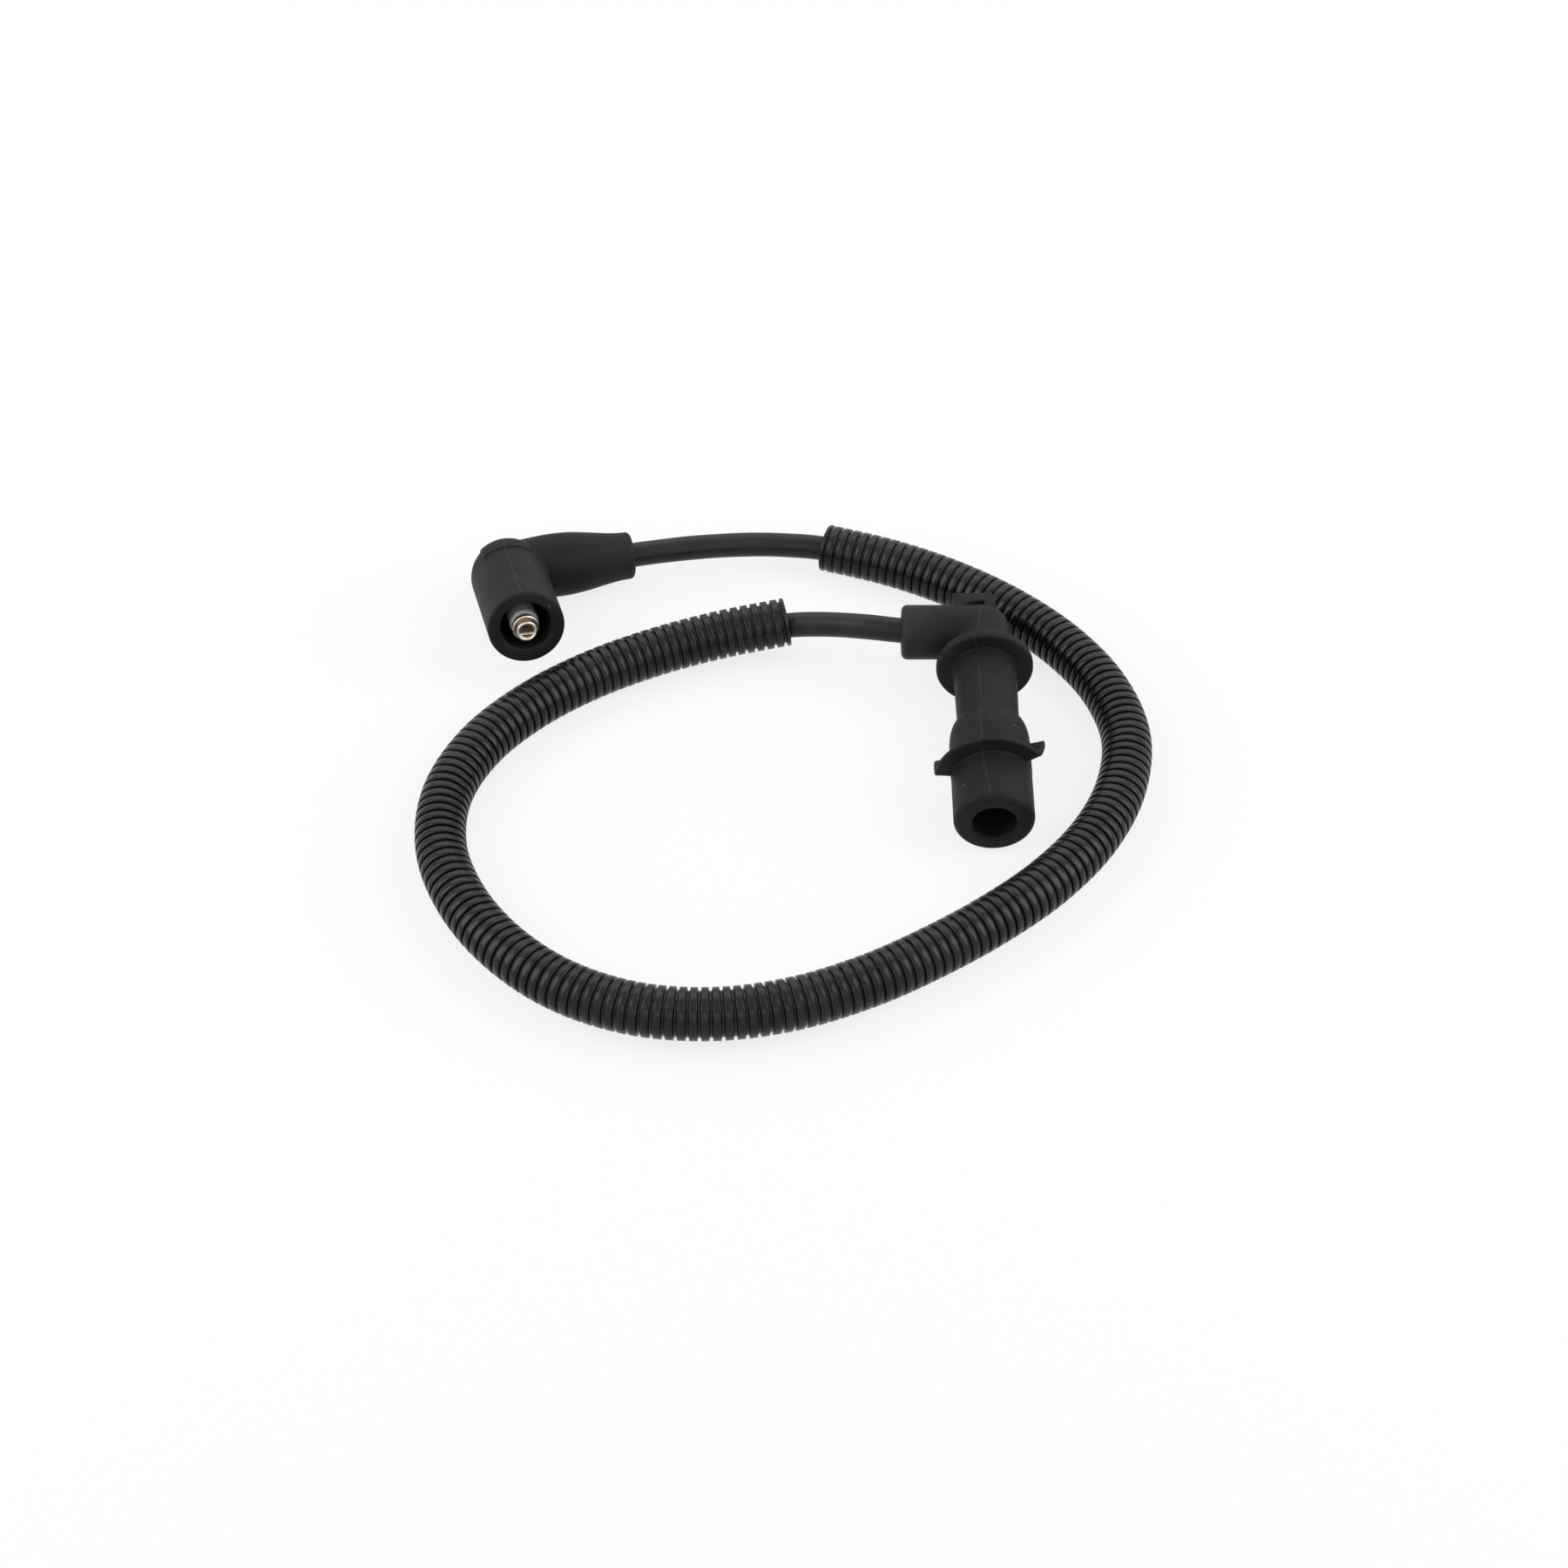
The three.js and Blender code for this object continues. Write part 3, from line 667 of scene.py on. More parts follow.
# %% Place the plug boot
PLUG_ELBOW = Vector((64.65, 13.6, 13.9)) * mm
PLUG_TILT = math.radians(2.65)
plug_place = Matrix.Translation(PLUG_ELBOW) @ Matrix.Rotation(PLUG_TILT, 4, "X")
plug_boot.matrix_world = plug_place
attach(plug_boot, "root")
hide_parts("plug_boot")
print("plug boot's elbow", [round(v / mm, 2) for v in PLUG_ELBOW], "mm")

# %% [markdown]
# ## The coil boot
#
# This one is a plain barrel over a dome, and a waisted arm that grips the cable. A low pad with two
# fine grooves wraps the outside of the elbow like a strap. The socket in the mouth is a little
# wider at its lip, so the tower finds its way in, and the contact leans in it, as soft rubber lets
# it do. Only the arm's outline needs more than arcs, so one smooth curve goes past its corners.

# %% Coil boot's sizes
COIL_LENGTH = 35.5
COIL_BARREL = 10.65
COIL_RIM = 0.8
DOME_FORWARD = 4.0
COIL_ARM_ROOT = 8.2
COIL_BORE = 7.1
COIL_BORE_DEPTH = 22.5
COIL_LIP = 7.7
COIL_LIP_DEPTH = 1.2
COIL_LIP_SLOPE = 0.3
COIL_ARM_LENGTH = 36.3
COIL_ARM_END = 6.75
COIL_ARM_ROUND = 1.5
# Corners of the arm's outline, as (along, radius).
COIL_WAIST = [(3, 8.3), (9, 8.8), (15, 9.0), (20, 8.75), (25, 7.95), (30, 7.1)]
TUBE_DROOP = math.radians(2.5)
TUBE_YAW = math.radians(0.2)
COIL_SOCKET = 2.8
COIL_SOCKET_FROM = 4.0
COIL_STRAP_WIDTH = 3.2
SLEEVE = 4.05
SLEEVE_FROM = COIL_SOCKET_FROM + STRAP_OVERLAP + 2 * CLEARANCE
print("coil boot", COIL_LENGTH, "mm deep, with a socket of", 2 * COIL_BORE, "mm")


# %% Coil boot's turned forms
def eased(corners, steps=6, degree=4):
    """A smooth run past (along, radius) corners, as (radius, along) corners."""
    alongs, radii = zip(*corners)
    fine = np.linspace(alongs[0], alongs[-1], steps * len(corners))
    fit = np.polynomial.Polynomial.fit(alongs, radii, degree)
    return [(float(fit(a)), float(a)) for a in fine]


coil_barrel = Turned([
    (0, DOME_FORWARD), (COIL_BARREL, DOME_FORWARD),
    *rounded(COIL_BARREL, COIL_LENGTH, COIL_RIM), (0, COIL_LENGTH),
])
arm_run = [(0, COIL_ARM_ROOT), *COIL_WAIST, (COIL_ARM_LENGTH - COIL_ARM_ROUND, COIL_ARM_END)]
coil_arm = Turned([
    (0, 0), *eased(arm_run),
    *rounded(COIL_ARM_END, COIL_ARM_LENGTH, COIL_ARM_ROUND), (0, COIL_ARM_LENGTH),
])
bore_from_elbow = COIL_LENGTH - COIL_BORE_DEPTH
lip_from = COIL_LENGTH - COIL_LIP_DEPTH
coil_bore = Turned([
    (0, bore_from_elbow), (COIL_BORE, bore_from_elbow), (COIL_BORE, lip_from),
    (COIL_LIP, lip_from + COIL_LIP_SLOPE), (COIL_LIP, COIL_LENGTH + 2 * OVERRUN),
    (0, COIL_LENGTH + 2 * OVERRUN),
])
sleeve_seat = Turned(rod(SLEEVE + CLEARANCE, SLEEVE_FROM - CLEARANCE, bore_from_elbow + OVERRUN))
tube_lean = (Matrix.Rotation(TUBE_YAW, 4, "Z") @ Matrix.Rotation(TUBE_DROOP, 4, "X")).to_3x3()


def leaned(x, y, z):
    """Coordinates along the contact tube, which leans a little in the soft boot."""
    back = np.array(tube_lean.transposed())
    return tuple(row[0] * x + row[1] * y + row[2] * z for row in back)


coil_hollow = seats(
    COIL_SOCKET, COIL_SOCKET_FROM, COIL_STRAP_WIDTH, COIL_ARM_LENGTH, side=1, tilt=leaned
)
print("contact leans", round(math.degrees(TUBE_DROOP), 2), "degrees")

# %% Coil boot's elbow pad
PAD_PROUD = 0.5
PAD_HALF_WIDTH = 6.9
PAD_FRONT = 6.3
PAD_GROOVES = (4.7, 2.9)
PAD_GROOVE_WIDTH = 0.5
PAD_GROOVE_DEPTH = 0.14


def ball(x, y, z, along):
    """Distance from a point of the barrel's axis."""
    return np.sqrt(x * x + (y + along) ** 2 + z * z)


def elbow_pad(x, y, z):
    """Strip over the back of the elbow, with two fine grooves across its top."""
    groove = sum(np.exp(-(((y + along) / PAD_GROOVE_WIDTH) ** 2)) for along in PAD_GROOVES)
    proud = COIL_BARREL + PAD_PROUD - PAD_GROOVE_DEPTH * groove
    shell = np.where(-y > DOME_FORWARD, np.hypot(x, z), ball(x, y, z, DOME_FORWARD)) - proud
    return np.maximum(np.maximum(shell, np.abs(x) - PAD_HALF_WIDTH), -y - PAD_FRONT)


print("pad", 2 * PAD_HALF_WIDTH, "mm wide and", PAD_PROUD, "mm proud")

# %% Coil boot as one field
COIL_ARM_FILLET = 0.6
COIL_ELBOW_FILLET = 0.3
PAD_FILLET = 0.2


def coil_boot_field(x, y, z):
    around_barrel, around_arm = np.hypot(x, z), np.hypot(y, z)
    body = np.minimum(coil_barrel(around_barrel, -y), ball(x, y, z, DOME_FORWARD) - COIL_BARREL)
    arm = fuse(coil_arm(around_arm, x), ball(x, y, z, 0) - COIL_ARM_ROOT, COIL_ELBOW_FILLET)
    body = fuse(body, arm, COIL_ARM_FILLET)
    body = fuse(body, elbow_pad(x, y, z), PAD_FILLET)
    body = cut(body, coil_bore(around_barrel, -y), BORE_EDGE)
    tx, ty, tz = leaned(x, y, z)
    body = np.maximum(body, -sleeve_seat(np.hypot(tx, tz), -ty))
    return np.maximum(body, -coil_hollow(x, y, z))


print("coil boot's wall at the mouth", round(COIL_BARREL - COIL_BORE, 2), "mm")

# %% Coil boot's mesh
COIL_LOW, COIL_HIGH = (-12.6, -36.8, -12.6), (37.6, 12.6, 12.6)

coil_boot = surface_net("coil_boot_moulding", coil_boot_field, COIL_LOW, COIL_HIGH, NET_STEP)
print("coil boot triangles", 2 * len(coil_boot.data.polygons))

# %% Place the coil boot
COIL_ELBOW = Vector((-69.05, 43.2, 10.5)) * mm
COIL_TURN = Euler([math.radians(a) for a in (-14.0, 1.7, 13.4)], "XYZ")
coil_place = Matrix.Translation(COIL_ELBOW) @ COIL_TURN.to_matrix().to_4x4()
coil_boot.matrix_world = coil_place
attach(coil_boot, "root")
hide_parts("coil_boot")
print("coil boot's elbow", [round(v / mm, 2) for v in COIL_ELBOW], "mm")

# %% [markdown]
# ## The coil terminal
#
# The contact is rolled from bright sheet with a rolled rim, and a flat tongue closes part of it.
# A spring wire is wound round the tip, and a pale insulator covers the rest. A distance field would
# need a very fine net for such thin metal, and these are small turned forms, so plain rings of
# vertices do: the rim's curve is what catches the light.


# %% Turned and folded metal
TURNED_SIDES = 64


def turned(profile, along_arm=False):
    """Points and faces of a closed turned form of (radius, along) corners, down -Y or along +X."""
    angle = np.linspace(0, 2 * math.pi, TURNED_SIDES, endpoint=False)
    radius, along = np.array(profile, float).T
    a = np.repeat(along[:, None], TURNED_SIDES, axis=1)
    u, v = radius[:, None] * np.cos(angle), radius[:, None] * np.sin(angle)
    rings = np.stack([a, u, v] if along_arm else [u, -a, -v], axis=-1)
    return list(rings.reshape(-1, 3)), ring_faces(len(profile), TURNED_SIDES, closed=True)


def folded(outline, half_width):
    """Points and faces of a flat outline given a width along Z."""
    count = len(outline)
    points = [(x, y, z) for z in (-half_width, half_width) for x, y in outline]
    faces = [list(range(count))[::-1], list(range(count, 2 * count))]
    faces += [[i, (i + 1) % count, count + (i + 1) % count, count + i] for i in range(count)]
    return points, faces


def combined(*parts):
    """Several lists of points and faces as one."""
    points, faces = [], []
    for more_points, more_faces in parts:
        faces.extend([[len(points) + i for i in face] for face in more_faces])
        points.extend(more_points)
    return points, faces


def leaning(part):
    """The part, leaned as the contact tube is."""
    points, faces = part
    return [tube_lean @ Vector(p) for p in points], faces


print("a turned form has", TURNED_SIDES, "sides")

# %% Contact tube and crimp
SOCKET_WALL = 0.6
SOCKET_TIP = COIL_LENGTH - 0.4
RIM_BEAD = 0.42
RIM_FLARE = 0.2
RIM_FROM_TIP = 1.1
BORE_RIM_FROM_TIP = 1.0
BEAD_STEPS = 8
BEAD_START = -0.05
CRIMP_WALL = 0.5

socket_inner = COIL_SOCKET - SOCKET_WALL
bead_radius = COIL_SOCKET + RIM_FLARE - RIM_BEAD
bead_along = SOCKET_TIP - RIM_BEAD
bead = [
    (bead_radius + RIM_BEAD * math.cos(t), bead_along + RIM_BEAD * math.sin(t))
    for t in [i / BEAD_STEPS * math.pi + BEAD_START for i in range(BEAD_STEPS + 1)]
]
contact = [
    (socket_inner, COIL_SOCKET_FROM), (COIL_SOCKET, COIL_SOCKET_FROM),
    (COIL_SOCKET, SOCKET_TIP - RIM_FROM_TIP), *bead, (socket_inner, SOCKET_TIP - BORE_RIM_FROM_TIP),
]
crimp = [
    (CRIMP_RADIUS - CRIMP_WALL, CRIMP_FROM), (CRIMP_RADIUS, CRIMP_FROM),
    (CRIMP_RADIUS, CRIMP_TO), (CRIMP_RADIUS - CRIMP_WALL, CRIMP_TO),
]
print("contact", 2 * COIL_SOCKET, "mm across, with a bore of", round(2 * socket_inner, 2), "mm")

# %% Tongue in the contact, and the whole terminal
TONGUE_DROP = 1.3
TONGUE_THICK = 0.5
TONGUE_LENGTH = 4.0
TONGUE_INSET = 1.2
TONGUE_IN_WALL = 0.1

tongue_tip = SOCKET_TIP - TONGUE_INSET
half = math.sqrt(socket_inner**2 - TONGUE_DROP**2) + TONGUE_IN_WALL
near, far = 0, TONGUE_LENGTH
tongue_plan = [(-half, near), (half, near), (half, far), (-half, far)]
tongue = (
    [
        (x, -tongue_tip + run, -TONGUE_DROP + lift)
        for lift in (-TONGUE_THICK / 2, TONGUE_THICK / 2)
        for x, run in tongue_plan
    ],
    [[3, 2, 1, 0], [4, 5, 6, 7], [0, 1, 5, 4], [1, 2, 6, 5], [2, 3, 7, 6], [3, 0, 4, 7]],
)
points, faces = combined(
    leaning(turned(contact)),
    turned(crimp, along_arm=True),
    folded(strap_outline(COIL_SOCKET, COIL_SOCKET_FROM), COIL_STRAP_WIDTH / 2),
    leaning(tongue),
)
terminal = mesh_object("coil_terminal_metal", np.array(points) * mm, faces)
terminal.matrix_world = coil_place
crease = terminal.modifiers.new("edges", "EDGE_SPLIT")
crease.split_angle = math.radians(40)
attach(terminal, "root")
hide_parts("coil_terminal")
print("terminal faces", len(faces))

# %% Spring wire round the tip
WIRE = 0.4
RING_FROM_TIP = 2.4
RING_TURN = math.radians(470)
RING_LEAD = 0.9
RING_STEPS = 150
WIRE_SIDES = 14

turn = np.linspace(0, 1, RING_STEPS)
theta = math.pi / 2 - RING_TURN / 2 + RING_TURN * turn
ring_radius = COIL_SOCKET + CLEARANCE + WIRE
wire_line = np.stack([
    ring_radius * np.cos(theta),
    -(SOCKET_TIP - RING_FROM_TIP) - RING_LEAD * (turn - 0.5),
    ring_radius * np.sin(theta),
], axis=1)
outward = np.stack([np.cos(theta), 0 * theta, np.sin(theta)], axis=1)
around = np.linspace(0, 2 * math.pi, WIRE_SIDES, endpoint=False)
# The ends are half balls: the wire's radius grows as a circle's does, over its own radius.
near_end = np.clip(np.minimum(turn, 1 - turn) * RING_TURN * ring_radius / WIRE, 0, 1)
thickness = WIRE * np.sqrt(near_end * (2 - near_end) + 1e-4)
wire_points = (
    wire_line[:, None, :]
    + thickness[:, None, None] * np.cos(around)[None, :, None] * outward[:, None, :]
    + thickness[:, None, None] * np.sin(around)[None, :, None] * np.array([0, 1, 0])
)
wire_faces = ring_faces(RING_STEPS, WIRE_SIDES, closed=False)
last = (RING_STEPS - 1) * WIRE_SIDES
wire_faces += [list(range(WIRE_SIDES)), list(range(last, last + WIRE_SIDES))[::-1]]
snap_ring = mesh_object("coil_snap_ring_wire", wire_points.reshape(-1, 3) * mm, wire_faces)
snap_ring.matrix_world = coil_place @ tube_lean.to_4x4()
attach(snap_ring, "root")
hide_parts("coil_snap_ring")
print("spring wire turns", round(RING_TURN / (2 * math.pi), 2))

# %% Pale insulator
SLEEVE_TIP = SOCKET_TIP - 4.6
SLEEVE_ROUND = 0.6

sleeve_inner = COIL_SOCKET + CLEARANCE
sleeve_profile = [
    (sleeve_inner, SLEEVE_FROM), (SLEEVE, SLEEVE_FROM),
    *rounded(SLEEVE, SLEEVE_TIP, SLEEVE_ROUND), (sleeve_inner, SLEEVE_TIP),
]
points, faces = turned(sleeve_profile)
sleeve = mesh_object("coil_insulator", np.array(points) * mm, faces)
sleeve.matrix_world = coil_place @ tube_lean.to_4x4()
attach(sleeve, "root")
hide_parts("coil_terminal_sleeve")
print("insulator", round(SLEEVE_TIP - SLEEVE_FROM, 2), "mm long")

# %% [markdown]
# ## Shader sums in plain Python
#
# A node tree is hard to read as a list of links. `Wire` wraps one output of a node and overloads
# the arithmetic, so `1 - mask * 0.5` adds the Math nodes that it needs. A Math node would turn a
# colour grey, so colours go through Mix. Every other node comes from `Shader.node`, which sets the
# node's own settings first and its sockets after that.


# %% A wire that can be calculated with
class Wire:
    """One output of a node, with arithmetic that adds Math nodes."""

    def __init__(self, shader, socket):
        self.shader = shader
        self.socket = socket

    def math(self, operation, *others):
        values = dict(enumerate((self, *others)))
        return self.shader.node("ShaderNodeMath", {"operation": operation}, values)

    def __add__(self, other):
        return self.math("ADD", other)

    def __sub__(self, other):
        return self.math("SUBTRACT", other)

    def __rsub__(self, other):
        return self.shader.node("ShaderNodeMath", {"operation": "SUBTRACT"}, {0: other, 1: self})

    def __mul__(self, other):
        return self.math("MULTIPLY", other)

    __radd__ = __add__
    __rmul__ = __mul__

    def __abs__(self):
        return self.math("ABSOLUTE")


# %% A shader, for a material or for the world
class Shader:
    """The nodes of a new material, or of the owner that is given."""

    def __init__(self, name, owner=None):
        self.owner = owner or bpy.data.materials.new(name)
        self.owner.use_nodes = True
        self.tree = self.owner.node_tree
        self.tree.nodes.clear()

    def node(self, kind, settings=None, values=None, output=0):
        """Adds a node, sets its settings and then its sockets, and gives one of its outputs."""
        made = self.tree.nodes.new(kind)
        for key, value in (settings or {}).items():
            setattr(made, key, value)
        for key, value in (values or {}).items():
            if isinstance(value, Wire):
                self.tree.links.new(value.socket, made.inputs[key])
            else:
                made.inputs[key].default_value = value
        return None if output is None else Wire(self, made.outputs[output])

    def place(self):
        """The piece's own coordinates, which stay with it wherever it is put."""
        return self.node("ShaderNodeTexCoord", output="Object")

    def axes(self, where):
        """The x, y and z of a place, as three wires."""
        return [self.node("ShaderNodeSeparateXYZ", {}, {0: where}, output=axis) for axis in range(3)]

    def noise(self, where, scale, detail, roughness=0.5):
        """Clouds between 0 and 1, about scale of them to the metre."""
        values = {"Vector": where, "Scale": scale, "Detail": detail, "Roughness": roughness}
        return self.node("ShaderNodeTexNoise", {}, values)

    def specks(self, where, scale, small, large):
        """1 in a dot in each cell, which fades out between two shares of the cell."""
        values = {"Vector": where, "Scale": scale}
        cells = self.node("ShaderNodeTexVoronoi", {"feature": "F1"}, values, output="Distance")
        return 1 - self.step(cells, small, large)

    def step(self, value, start, end, low=0.0, high=1.0):
        """low below start and high above end, with a smooth change between them."""
        values = {0: value, 1: start, 2: end, 3: low, 4: high}
        return self.node("ShaderNodeMapRange", {"interpolation_type": "SMOOTHSTEP"}, values)

    def mix(self, factor, first, second):
        """first where the factor is 0, and second where it is 1."""
        values = {0: factor, 6: first, 7: second}
        return self.node("ShaderNodeMix", {"data_type": "RGBA"}, values, output=2)

    def bump(self, height, distance, strength):
        """A normal for a fine relief, which is distance metres high where height is 1."""
        values = {"Height": height, "Distance": distance, "Strength": strength}
        return self.node("ShaderNodeBump", {}, values)

    def paint(self, pieces, values):
        """Ends the tree with a Principled shader and puts the material on the pieces."""
        surface = self.node("ShaderNodeBsdfPrincipled", {}, values)
        self.output(surface)
        for piece in pieces:
            piece.data.materials.clear()
            piece.data.materials.append(self.owner)

    def output(self, surface, kind="ShaderNodeOutputMaterial"):
        """Links the finished surface to the tree's output node, which has no output of its own."""
        self.node(kind, {}, {"Surface": surface}, output=None)


def grey(value, warmth=0.0):
    """A grey with a little more red and a little less blue."""
    return (value * (1 + warmth), value, value * (1 - warmth), 1.0)


# %% [markdown]
# ## Rubber
#
# Moulded rubber is a dark warm grey rather than black: its surface is finely etched, so it has
# almost no shine. Towards the end of each arm its colour is lightened: that is a painted sheen.
# Where the two halves of the mould met, a fine flash stands proud, and its lighter colour is a
# painted highlight along it. The flash could be cut into the mesh, but it is thinner than the mesh
# is fine, so it is drawn from each boot's own coordinates and follows the moulding. The mould's
# core makes the bore, so the flash stops at the mouth and isn't inside.


# %% Boot rubber
SEAM_WAVER = 0.35 * mm
SEAM_SOLID, SEAM_EDGE = 0.05 * mm, 0.17 * mm
SEAM_INSIDE, SEAM_OUTSIDE = 7.6 * mm, 8.1 * mm
MOUTH_CLEAR, MOUTH_FADED = 0.3 * mm, 1.2 * mm
PAST_BORE_FROM, PAST_BORE_TO = -14 * mm, -10 * mm
PAST_BORE = 10 * mm
RUBBER_COLOURS = grey(0.0095, 0.06), grey(0.0140, 0.08)
# A lighter colour laid on the arms towards their ends as a painted sheen.
PAINTED_SHEEN_COLOUR = grey(0.050, 0.08)
# A painted highlight along the mould's flash.
FLASH_HIGHLIGHT_COLOUR = grey(0.065, 0.05)
SPECK_COLOUR = grey(0.13, 0.05)


def rubber(name, piece, length, seam, painted_sheen):
    """length is the barrel's, in metres. seam and painted_sheen are functions of the boot's
    coordinates: painted_sheen says where the colour is lightened as a painted sheen.
    """
    shader = Shader(name)
    where = shader.place()
    x, y, z = shader.axes(where)
    cloud = shader.noise(where, 90.0, 3.0)
    grain = shader.noise(where, 2600.0, 2.0, 0.6)
    etch = shader.noise(where, 900.0, 2.0)
    waver = (shader.noise(where, 160.0, 2.0) - 0.5) * SEAM_WAVER
    line = 1 - shader.step(abs(seam(shader, x, y, z) + waver), SEAM_SOLID, SEAM_EDGE)
    broken = shader.step(shader.noise(where, 300.0, 2.0), 0.30, 0.62)
    radius = (x * x + z * z).math("SQRT")
    # The elbow and the arm have no bore to keep clear, so their radius is made to look large.
    past_bore = shader.step(y, PAST_BORE_FROM, PAST_BORE_TO, 0.0, PAST_BORE)
    outside = shader.step(radius + past_bore, SEAM_INSIDE, SEAM_OUTSIDE)
    behind_mouth = shader.step(y, MOUTH_CLEAR - length, MOUTH_FADED - length)
    flash_and_highlight = line * (0.25 + broken * 0.75) * (outside * behind_mouth)
    speck = shader.specks(where, 190.0, 0.035, 0.06) * shader.step(cloud, 0.50, 0.56)
    colour = shader.mix(shader.step(cloud, 0.3, 0.7), *RUBBER_COLOURS)
    # Painted sheen: the colour is lightened towards the arm's end, broken up by the grain.
    colour = shader.mix(painted_sheen(shader, x, y, z) * (0.6 + grain * 0.8), colour, PAINTED_SHEEN_COLOUR)
    # The flash is real relief in the bump, and its lighter colour is a painted highlight along it.
    colour = shader.mix(flash_and_highlight * 0.5, colour, FLASH_HIGHLIGHT_COLOUR)
    colour = shader.mix(speck * 0.8, colour, SPECK_COLOUR)
    height = grain * 0.35 + etch * 0.3 + flash_and_highlight * 1.2
    shader.paint([piece], {
        "Base Color": colour,
        "Roughness": 0.50 + etch * 0.14,
        "Normal": shader.bump(height, 0.05 * mm, 0.8),
        "Specular IOR Level": 0.11,
    })


# %% Where each boot has its flash and its painted sheen
SEAM_AT_ELBOW = math.radians(1.0)
SEAM_MOUTH_TURN = math.radians(7.0)
COIL_SEAM_SLOPE = 0.06
# How strong the painted sheen is at the end of each boot's arm.
PLUG_PAINTED_SHEEN = 0.34
COIL_PAINTED_SHEEN = 0.10


def plug_seam(shader, x, y, z):
    """Distance from the parting line, which is rolled to one side along the barrel."""
    roll = shader.step(y, -9 * mm, 8 * mm, SEAM_ROLL, SEAM_AT_ELBOW)
    roll = roll - shader.step(y, -70 * mm, -56 * mm, SEAM_MOUTH_TURN, 0.0)
    return x * roll.math("COSINE") + z * roll.math("SINE")


def coil_seam(shader, x, y, z):
    """Distance from the parting line, which runs along the top of the barrel."""
    return x + z * COIL_SEAM_SLOPE


def plug_painted_sheen(shader, x, y, z):
    """A painted sheen, stronger towards the end of the plug boot's arm."""
    return shader.step(x, -22 * mm, -8 * mm, PLUG_PAINTED_SHEEN, 0.0)


def coil_painted_sheen(shader, x, y, z):
    """A faint painted sheen towards the end of the coil boot's arm."""
    return shader.step(x, 16 * mm, 34 * mm, 0.0, COIL_PAINTED_SHEEN)


rubber("boot_rubber_plug", plug_boot, PLUG_LENGTH * mm, plug_seam, plug_painted_sheen)
rubber("boot_rubber_coil", coil_boot, COIL_LENGTH * mm, coil_seam, coil_painted_sheen)
print("rubber on", plug_boot.name, "and", coil_boot.name)

# %% [markdown]
# ## Nylon conduit
#
# Blown nylon copies the mould's polish, so the crests are satin and pick up soft bands of the
# studio, with a faint brown cast. The grooves need no darker paint: they are real ones in the mesh,
# and little light reaches them. Noise of two sizes breaks up the shine.


# %% Conduit plastic
NYLON_COLOURS = grey(0.0040, 0.12), grey(0.0080, 0.20)


def nylon(name, piece):
    shader = Shader(name)
    where = shader.place()
    cloud = shader.noise(where, 60.0, 3.0)
    streak = shader.noise(where, 500.0, 3.0, 0.6)
    fine = shader.noise(where, 2200.0, 2.0)
    shader.paint([piece], {
        "Base Color": shader.mix(shader.step(cloud, 0.35, 0.65), *NYLON_COLOURS),
        "Roughness": 0.18 + streak * 0.18,
        "Normal": shader.bump(streak * 0.7 + fine * 0.35, 0.05 * mm, 0.7),
        "Specular IOR Level": 0.24,
    })


nylon("conduit_nylon", conduit)
print("nylon on", conduit.name)

# %% [markdown]
# ## Cable jacket and core
#
# The jacket is silicone: softer looking than the nylon, with an even satin and a few pale specks
# of dust that it attracts. The specks are the middles of Voronoi cells, kept only where a slow
# noise is high, so they lie in groups. The core is hidden in the crimps, and is dull black.


# %% Jacket and core
SILICONE_COLOURS = grey(0.0095, 0.04), grey(0.0145, 0.05)
LINT_COLOUR = grey(0.12, 0.04)
CARBON_COLOURS = grey(0.008), grey(0.02)


def silicone(name, piece):
    shader = Shader(name)
    where = shader.place()
    cloud = shader.noise(where, 120.0, 3.0)
    fine = shader.noise(where, 1800.0, 2.0)
    speck = shader.specks(where, 150.0, 0.03, 0.05) * shader.step(cloud, 0.52, 0.58)
    colour = shader.mix(shader.step(cloud, 0.3, 0.7), *SILICONE_COLOURS)
    colour = shader.mix(speck * 0.7, colour, LINT_COLOUR)
    shader.paint([piece], {
        "Base Color": colour,
        "Roughness": 0.32 + fine * 0.12,
        "Normal": shader.bump(fine, 0.03 * mm, 0.5),
        "Specular IOR Level": 0.22,
    })


def carbon(name, piece):
    shader = Shader(name)
    where = shader.place()
    values = {"Vector": where, "Scale": 700.0, "Distortion": 2.0}
    weave = shader.node("ShaderNodeTexWave", {"wave_type": "BANDS"}, values)
    shader.paint([piece], {
        "Base Color": shader.mix(weave, *CARBON_COLOURS),
        "Roughness": 0.8 + weave * 0.1,
        "Normal": shader.bump(weave, 0.05 * mm, 0.7),
    })


silicone("cable_silicone", jacket)
carbon("core_carbon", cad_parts["cable_core"])
print("silicone on", jacket.name)

# %% [markdown]
# ## Plated metal and the insulator
#
# The contact is plated steel, bright and a little warm, with fine drawing marks along the tube: a
# noise that is stretched along the barrel. Its bore isn't polished, so it scatters the light that
# gets in. The spring wire is steel too. The insulator is a milky plastic, so some light goes
# through it and its edge stays pale, which a little subsurface scattering gives.


# %% Metal and insulator
BORE_DULL, BORE_BRIGHT = 2.25 * mm, 2.55 * mm
CONTACT_COLOURS = (0.80, 0.74, 0.64, 1), (0.62, 0.52, 0.38, 1)
SPRING_COLOURS = (0.78, 0.74, 0.68, 1), (0.55, 0.48, 0.38, 1)
MILKY_COLOURS = grey(0.82), grey(0.90, 0.01)


